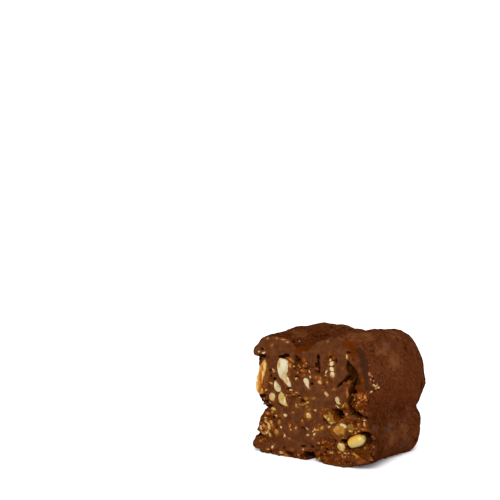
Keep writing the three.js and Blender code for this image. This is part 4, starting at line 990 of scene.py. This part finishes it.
def chocolate_material():
    m = Nodes("truffle_chocolate")
    on_face, smeared, crumbly = m.attribute("on_face"), m.attribute("smeared"), m.attribute("crumbly")
    depth, warm_and_glow, greyed, olive = m.attribute("depth"), m.attribute("warm_and_glow"), m.attribute("greyed"), m.attribute("olive")
    hollow_shade, lit, tan, ruddy = m.attribute("hollow_shade"), m.attribute("lit"), m.attribute("tan"), m.attribute("ruddy")
    bluish, pit_shade_lines, streak, between = m.attribute("bluish"), m.attribute("pit_shade_lines"), m.attribute("streak"), m.attribute("between")
    near, far, halo = m.attribute("open_near"), m.attribute("open_far"), m.attribute("halo")
    fine = m.noise(0.24, 4, 0.65)
    grain = m.noise(0.10, 2, 0.6)
    # --- the skin: cocoa powder, darker in its streaks, greyish where it has rubbed off
    def skin_colour(*rgb):
        return lin(*rgb, light=SIDE)

    pit_shade_spots = m.attribute("pit_shade_spots")
    broad = m.noise(2.6, 3, 0.55)
    dust = m.noise(0.17, 2, 0.7)
    cloudy = m.noise(1.1, 3, 0.6)
    scratched = m.noise(0.26, 3, 0.6, m.drawn((0.0, 0.84, -0.54), 3.2))
    combed = m.noise(0.24, 3, 0.6, m.drawn((0.7, -0.7, 0.1), 4.0))
    skin = m.mix(m.ramp(fine, 0.36, 0.64), skin_colour(72, 33, 15), skin_colour(106, 60, 34))
    skin = m.mix(m.ramp(cloudy, 0.50, 0.66, 0.0, 0.4), skin, skin_colour(64, 27, 11))
    skin = m.mix(m.ramp(broad, 0.40, 0.62, 0.0, 0.35), skin, skin_colour(84, 39, 18))
    skin = m.mix(m.math("MULTIPLY", ruddy, 0.55), skin, skin_colour(85, 36, 14))
    # painted shade in the groove between the top lobes
    skin = m.mix(m.math("MULTIPLY", between, 0.6), skin, skin_colour(80, 36, 13))
    skin = m.mix(m.ramp(streak, 0.0, 0.7, 0.0, 0.22), skin, skin_colour(60, 25, 9))
    lines = m.mix(between, scratched, combed)
    # the skin's own drawn streaks, made darker as painted shade in the pits and in the groove between the top lobes
    skin = m.mix(m.math("MULTIPLY", m.ramp(lines, 0.48, 0.62), m.math("ADD", 0.38, m.math("MULTIPLY", m.math("MAXIMUM", pit_shade_lines, between), 0.45))), skin, skin_colour(44, 17, 6))
    skin = m.mix(m.math("MULTIPLY", tan, m.ramp(fine, 0.30, 0.60, 0.45, 0.85)), skin, skin_colour(122, 74, 43))
    skin = m.mix(m.ramp(dust, 0.52, 0.68, 0.0, 0.5), skin, skin_colour(52, 21, 8))
    skin = m.mix(m.ramp(grain, 0.54, 0.70, 0.0, 0.5), skin, skin_colour(130, 80, 50))
    # painted shade where the skin is enclosed
    skin = m.mix(m.ramp(near, 0.95, 0.45, 0.0, 0.6), skin, skin_colour(44, 18, 6))
    skin = m.mix(m.math("MULTIPLY", bluish, m.math("MULTIPLY", m.ramp(fine, 0.30, 0.55, 0.3, 1.0), m.ramp(m.noise(0.7, 4, 0.65), 0.38, 0.58, 0.25, 1.0))), skin, skin_colour(86, 62, 52))
    # painted shade of small pits and streaks in the skin
    skin = m.mix(m.math("MULTIPLY", pit_shade_spots, m.ramp(dust, 0.30, 0.60, 1.0, 0.6)), skin, skin_colour(38, 14, 5))
    # --- the cut: smeared chocolate with fine streaks, ground nut between
    smear = m.noise(0.5, 3, 0.6, m.stretch((1.0, 1.0, 0.45)), 0.6)
    mottle = m.noise(0.8, 4, 0.6)
    face = m.mix(m.ramp(mottle, 0.35, 0.65), lin(88, 47, 26), lin(106, 63, 37))
    face = m.mix(m.ramp(smear, 0.52, 0.75, 0.0, 0.45), face, lin(118, 71, 42))
    ground = m.noise(0.32, 3, 0.6)
    rough_face = m.mix(m.ramp(ground, 0.36, 0.62), lin(62, 26, 7), lin(122, 60, 18))
    rough_face = m.mix(m.ramp(m.noise(0.20, 2, 0.5), 0.60, 0.74, 0.0, 0.7), rough_face, lin(164, 96, 36))
    loose = m.math("MULTIPLY", m.math("SUBTRACT", 1.0, smeared, True), m.ramp(m.noise(1.1, 3, 0.6), 0.44, 0.62))
    face = m.mix(m.math("MULTIPLY", loose, 0.45), face, rough_face)
    face = m.mix(m.math("MULTIPLY", crumbly, 0.8), face, rough_face)
    face = m.mix(m.math("MULTIPLY", halo, m.ramp(m.noise(0.5, 3, 0.6), 0.34, 0.56, 0.1, 1.0)), face, lin(154, 82, 26))
    face = m.mix(m.math("MULTIPLY", lit, m.ramp(ground, 0.28, 0.56, 0.5, 1.0)), face, lin(182, 100, 31))
    # painted shade in the enclosed hollows of the cut, close in and farther out
    face = m.mix(m.ramp(near, 0.80, 0.2, 0.0, 0.6), face, lin(58, 24, 5))
    face = m.mix(m.ramp(far, 0.65, 0.15, 0.0, 0.4), face, lin(60, 26, 5))
    # olive: the crack floors' own hue, made darker as painted shade
    face = m.mix(m.math("MULTIPLY", m.math("MULTIPLY", olive, m.ramp(lit, 0.0, 0.8, 1.0, 0.3)), m.ramp(ground, 0.25, 0.60, 0.95, 0.6)), face, lin(88, 47, 8))
    # painted shade at the bottom of deep hollows
    face = m.mix(m.ramp(depth, 0.65, 1.0, 0.0, 0.7), face, lin(52, 23, 3))
    # painted shade in the cracks and pits
    face = m.mix(m.math("MULTIPLY", hollow_shade, m.ramp(ground, 0.30, 0.65, 0.97, 0.86)), face, lin(56, 29, 4))
    colour = m.mix(on_face, skin, face)
    # keeps the reddish-orange tone off the painted shade of the cracks and pits
    out_of_hollow_shade = m.math("SUBTRACT", 1.0, m.math("MULTIPLY", hollow_shade, on_face), True)
    # reddish-orange tone with a painted glow on lit rims and walls
    colour = m.mix(m.math("MULTIPLY", m.math("MULTIPLY", warm_and_glow, out_of_hollow_shade), m.ramp(mottle, 0.35, 0.65, 0.9, 0.65)), colour, lin(98, 41, 7))
    colour = m.mix(m.math("MULTIPLY", greyed, m.ramp(fine, 0.30, 0.70, 0.95, 0.80)), colour, lin(62, 36, 25))
    m.set("Base Color", colour)
    rough_skin = m.ramp(fine, 0.3, 0.7, 0.8, 0.95)
    rough_cut = m.ramp(m.math("ADD", smeared, m.math("MULTIPLY", mottle, 0.4)), 0.2, 1.2, 0.60, 0.42)
    n = m.tree.nodes.new("ShaderNodeMix")
    m.put(n, "Factor", on_face)
    m.put(n, 2, rough_skin)
    m.put(n, 3, rough_cut)
    m.set("Roughness", n.outputs[0])
    m.set("Specular IOR Level", 0.0)
    h = m.math("ADD", m.math("MULTIPLY", fine, 0.6), m.math("MULTIPLY", grain, 0.4))
    keep = m.ramp(smeared, 0.0, 1.0, 1.0, 0.3)
    m.set("Normal", m.bump(m.math("MULTIPLY", h, keep), 0.10, 0.8))
    return m.mat


NUT_LOOK = {
    # base, second, edge
    "white": ((222, 206, 168), (206, 180, 124), (176, 106, 46)),
    "cream": ((212, 184, 124), (200, 156, 78), (172, 96, 34)),
    "yellow": ((216, 178, 92), (222, 190, 118), (206, 140, 62)),
    "toasted": ((218, 160, 76), (204, 126, 42), (140, 72, 22)),
    "amber": ((176, 122, 40), (160, 102, 28), (110, 60, 14)),
    "umber": ((156, 104, 34), (136, 84, 20), (84, 44, 8)),
    "orange": ((196, 122, 50), (170, 88, 22), (126, 58, 12)),
    "pink": ((186, 134, 100), (160, 98, 64), (124, 66, 36)),
    "rust": ((116, 58, 20), (90, 42, 12), (62, 27, 6)),
    "olive": ((150, 112, 48), (126, 88, 36), (96, 54, 20)),
}


def nut_material(kind):
    m = Nodes("truffle_nut_" + kind)
    glossy = kind in ("amber", "yellow")

    def shade(r, g, b):
        return lin(r, g, b, veil={"amber": 0.020, "yellow": 0.040, "umber": 0.010, "toasted": 0.014}.get(kind, 0.012))

    base, second, edge = (shade(*c) for c in NUT_LOOK[kind])
    stain, su, sv = m.attribute("stain"), m.attribute("su"), m.attribute("sv")
    pale, golden, brown = m.attribute("pale"), m.attribute("golden"), m.attribute("brown")
    vein = m.noise(0.7, 3, 0.55, m.stretch((1.0, 1.0, 0.45)), 0.8)
    patch = m.noise(0.9, 3, 0.6)
    wander = m.math("MULTIPLY", m.math("SUBTRACT", patch, 0.5), 2.2)
    side = m.math("ADD", sv, wander)
    colour = m.mix(m.ramp(vein, 0.46, 0.64), base, second)
    if kind == "yellow":  # orange above at the left, pale below
        tilt = m.math("SUBTRACT", sv, m.math("MULTIPLY", su, 0.45))
        colour = m.mix(m.ramp(m.math("ADD", tilt, m.math("MULTIPLY", wander, 0.2)), -0.5, 0.25), shade(216, 186, 116), shade(234, 190, 92))
        colour = m.mix(m.ramp(m.math("ADD", tilt, m.math("MULTIPLY", wander, 0.2)), 0.35, 1.1, 0.0, 0.85), colour, shade(228, 158, 60))
    elif kind == "umber":
        colour = m.mix(m.ramp(patch, 0.50, 0.66, 0.0, 0.8), colour, shade(172, 116, 44))
    elif kind == "amber":  # deep gold above, paler and browner below
        colour = m.mix(m.ramp(m.math("SUBTRACT", sv, m.math("MULTIPLY", wander, 0.3)), -0.8, 0.3), shade(172, 122, 52), shade(180, 118, 26))
        colour = m.mix(m.ramp(vein, 0.50, 0.68, 0.0, 0.6), colour, shade(140, 84, 20))
    elif kind == "cream":
        colour = m.mix(m.ramp(side, 0.0, 0.6, 0.0, 0.6), colour, shade(202, 168, 76))
        colour = m.mix(m.ramp(side, 0.7, 1.2, 0.0, 0.7), colour, edge)
    elif kind == "white":
        colour = m.mix(m.ramp(side, 0.75, 1.15, 0.0, 0.8), colour, shade(190, 126, 58))
        colour = m.mix(m.ramp(side, -0.75, -1.2, 0.0, 0.7), colour, shade(206, 168, 92))
    light_mark, gold_mark, brown_mark = {
        "white": ((232, 220, 188), (206, 150, 70), (168, 96, 34)),
        "cream": ((226, 214, 172), (204, 160, 60), (168, 104, 36)),
        "toasted": ((240, 208, 136), (184, 92, 14), (132, 66, 18)),
        "amber": ((240, 230, 200), (192, 144, 66), (124, 76, 24)),
        "umber": ((212, 180, 104), (176, 120, 36), (96, 54, 12)),
        "yellow": ((226, 204, 140), (214, 150, 56), (168, 104, 30)),
    }[kind]
    spread = m.ramp(m.noise(0.4, 3, 0.6), 0.30, 0.55, 0.55, 1.0)
    colour = m.mix(m.math("MULTIPLY", golden, spread), colour, shade(*gold_mark))
    # pale: the nuts' own pale streaks, and painted highlights
    colour = m.mix(m.math("MULTIPLY", pale, spread), colour, shade(*light_mark))
    colour = m.mix(m.math("MULTIPLY", brown, spread), colour, shade(*brown_mark))
    if kind != "yellow":
        rim = m.math("MULTIPLY", m.ramp(stain, 0.05, 0.5), m.ramp(m.noise(0.5, 3, 0.6), 0.38, 0.62, 0.0, 0.8))
        colour = m.mix(rim, colour, edge)
    s = m.math("MULTIPLY", m.ramp(stain, 0.35, 0.95), m.ramp(m.noise(0.35, 3, 0.6), 0.3, 0.6, 0.35, 1.0))
    colour = m.mix(s, colour, shade(98, 50, 20))
    m.set("Base Color", colour)
    m.set("Roughness", m.ramp(vein, 0.3, 0.7, 0.26 if glossy else 0.40, 0.36 if glossy else 0.55))
    m.set("Specular IOR Level", {"amber": 0.16, "yellow": 0.28, "umber": 0.06, "toasted": 0.08}.get(kind, 0.15))
    m.set("Normal", m.bump(m.noise(0.16, 3, 0.6), 0.05, 0.2 if glossy else 0.6))
    return m.mat


def bits_material():
    """Bits of every kind: kind and rnd are set on the mesh."""
    m = Nodes("truffle_nut_bits")
    kind, rnd, stain = m.attribute("kind"), m.attribute("rnd"), m.attribute("stain")
    colour = None
    for i, k in enumerate(KINDS):
        base, second, edge = (lin(*c, veil=0.010) for c in NUT_LOOK[k])
        c = m.mix(m.ramp(m.noise(0.30, 3, 0.6), 0.42, 0.62), base, second)
        c = m.mix(m.ramp(m.noise(0.45, 3, 0.6), 0.58, 0.70, 0.0, 0.8), c, edge)
        if colour is None:
            colour = c
        else:
            colour = m.mix(m.math("GREATER_THAN", kind, i - 0.5), colour, c)
    colour = m.mix(m.ramp(rnd, 0.5, 1.0, 0.0, 0.3), colour, lin(150, 84, 36))
    s = m.math("MULTIPLY", m.ramp(stain, 0.1, 0.9), m.ramp(m.noise(0.3, 3, 0.6), 0.3, 0.6, 0.3, 1.0))
    colour = m.mix(s, colour, lin(124, 64, 24))
    m.set("Base Color", colour)
    m.set("Roughness", m.ramp(m.noise(0.2, 2, 0.5), 0.3, 0.7, 0.4, 0.6))
    m.set("Specular IOR Level", 0.12)
    m.set("Normal", m.bump(m.noise(0.10, 3, 0.6), 0.04, 0.5))
    return m.mat


body.data.materials.clear()
body.data.materials.append(chocolate_material())
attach(body, "root")
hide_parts("truffle_body")
nut_mats = {k: nut_material(k) for k in ("white", "cream", "yellow", "toasted", "amber", "umber")}
for ob, node, kind in nut_objects:
    ob.data.materials.append(nut_mats[kind])
    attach(ob, "root")
    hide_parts(node)
bits_mat = bits_material()
for ob in (bits, crumbs):
    ob.data.materials.append(bits_mat)
    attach(ob, "root")

# =====================================================================================
# Floor, light and background
floor_mesh = bpy.data.meshes.new("floor")
size = 3.0
floor_mesh.from_pydata([(-size, -size, 0), (size, -size, 0), (size, size, 0), (-size, size, 0)], [], [(0, 1, 2, 3)])
floor = bpy.data.objects.new("floor", floor_mesh)
scene.collection.objects.link(floor)
fm = Nodes("pale_floor")
fm.set("Base Color", (0.95, 0.95, 0.95, 1))
fm.set("Roughness", 0.9)
fm.set("Specular IOR Level", 0.0)
floor.data.materials.append(fm.mat)

world = bpy.data.worlds.new("studio")
scene.world = world
world.use_nodes = True
world.node_tree.nodes["Background"].inputs[0].default_value = (1.0, 1.0, 1.0, 1)
world.node_tree.nodes["Background"].inputs[1].default_value = 1.20


def area(name, direction_deg, height_deg, distance, width, power):
    """A soft light that looks at the truffle's middle; direction as for the camera's azimuth."""
    a, e = math.radians(direction_deg), math.radians(height_deg)
    target = Vector((0.0, 0.0, 0.008))
    at = target + Vector((math.sin(a) * math.cos(e), -math.cos(a) * math.cos(e), math.sin(e))) * distance
    data = bpy.data.lights.new(name, "AREA")
    data.shape, data.size, data.energy = "DISK", width, power
    ob = bpy.data.objects.new(name, data)
    scene.collection.objects.link(ob)
    ob.location = at
    ob.rotation_euler = (target - at).to_track_quat("-Z", "Y").to_euler()
    return ob


area("key", 25, 38, 0.35, 0.14, 0.95)
area("fill", 88, 6, 0.40, 0.20, 0.66)
area("back", 200, 50, 0.40, 0.20, 0.12)

scene.view_settings.view_transform = "Standard"
scene.view_settings.look = "None"
scene.view_settings.exposure = 0.0
scene.view_settings.gamma = 1.0

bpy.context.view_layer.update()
say("done")
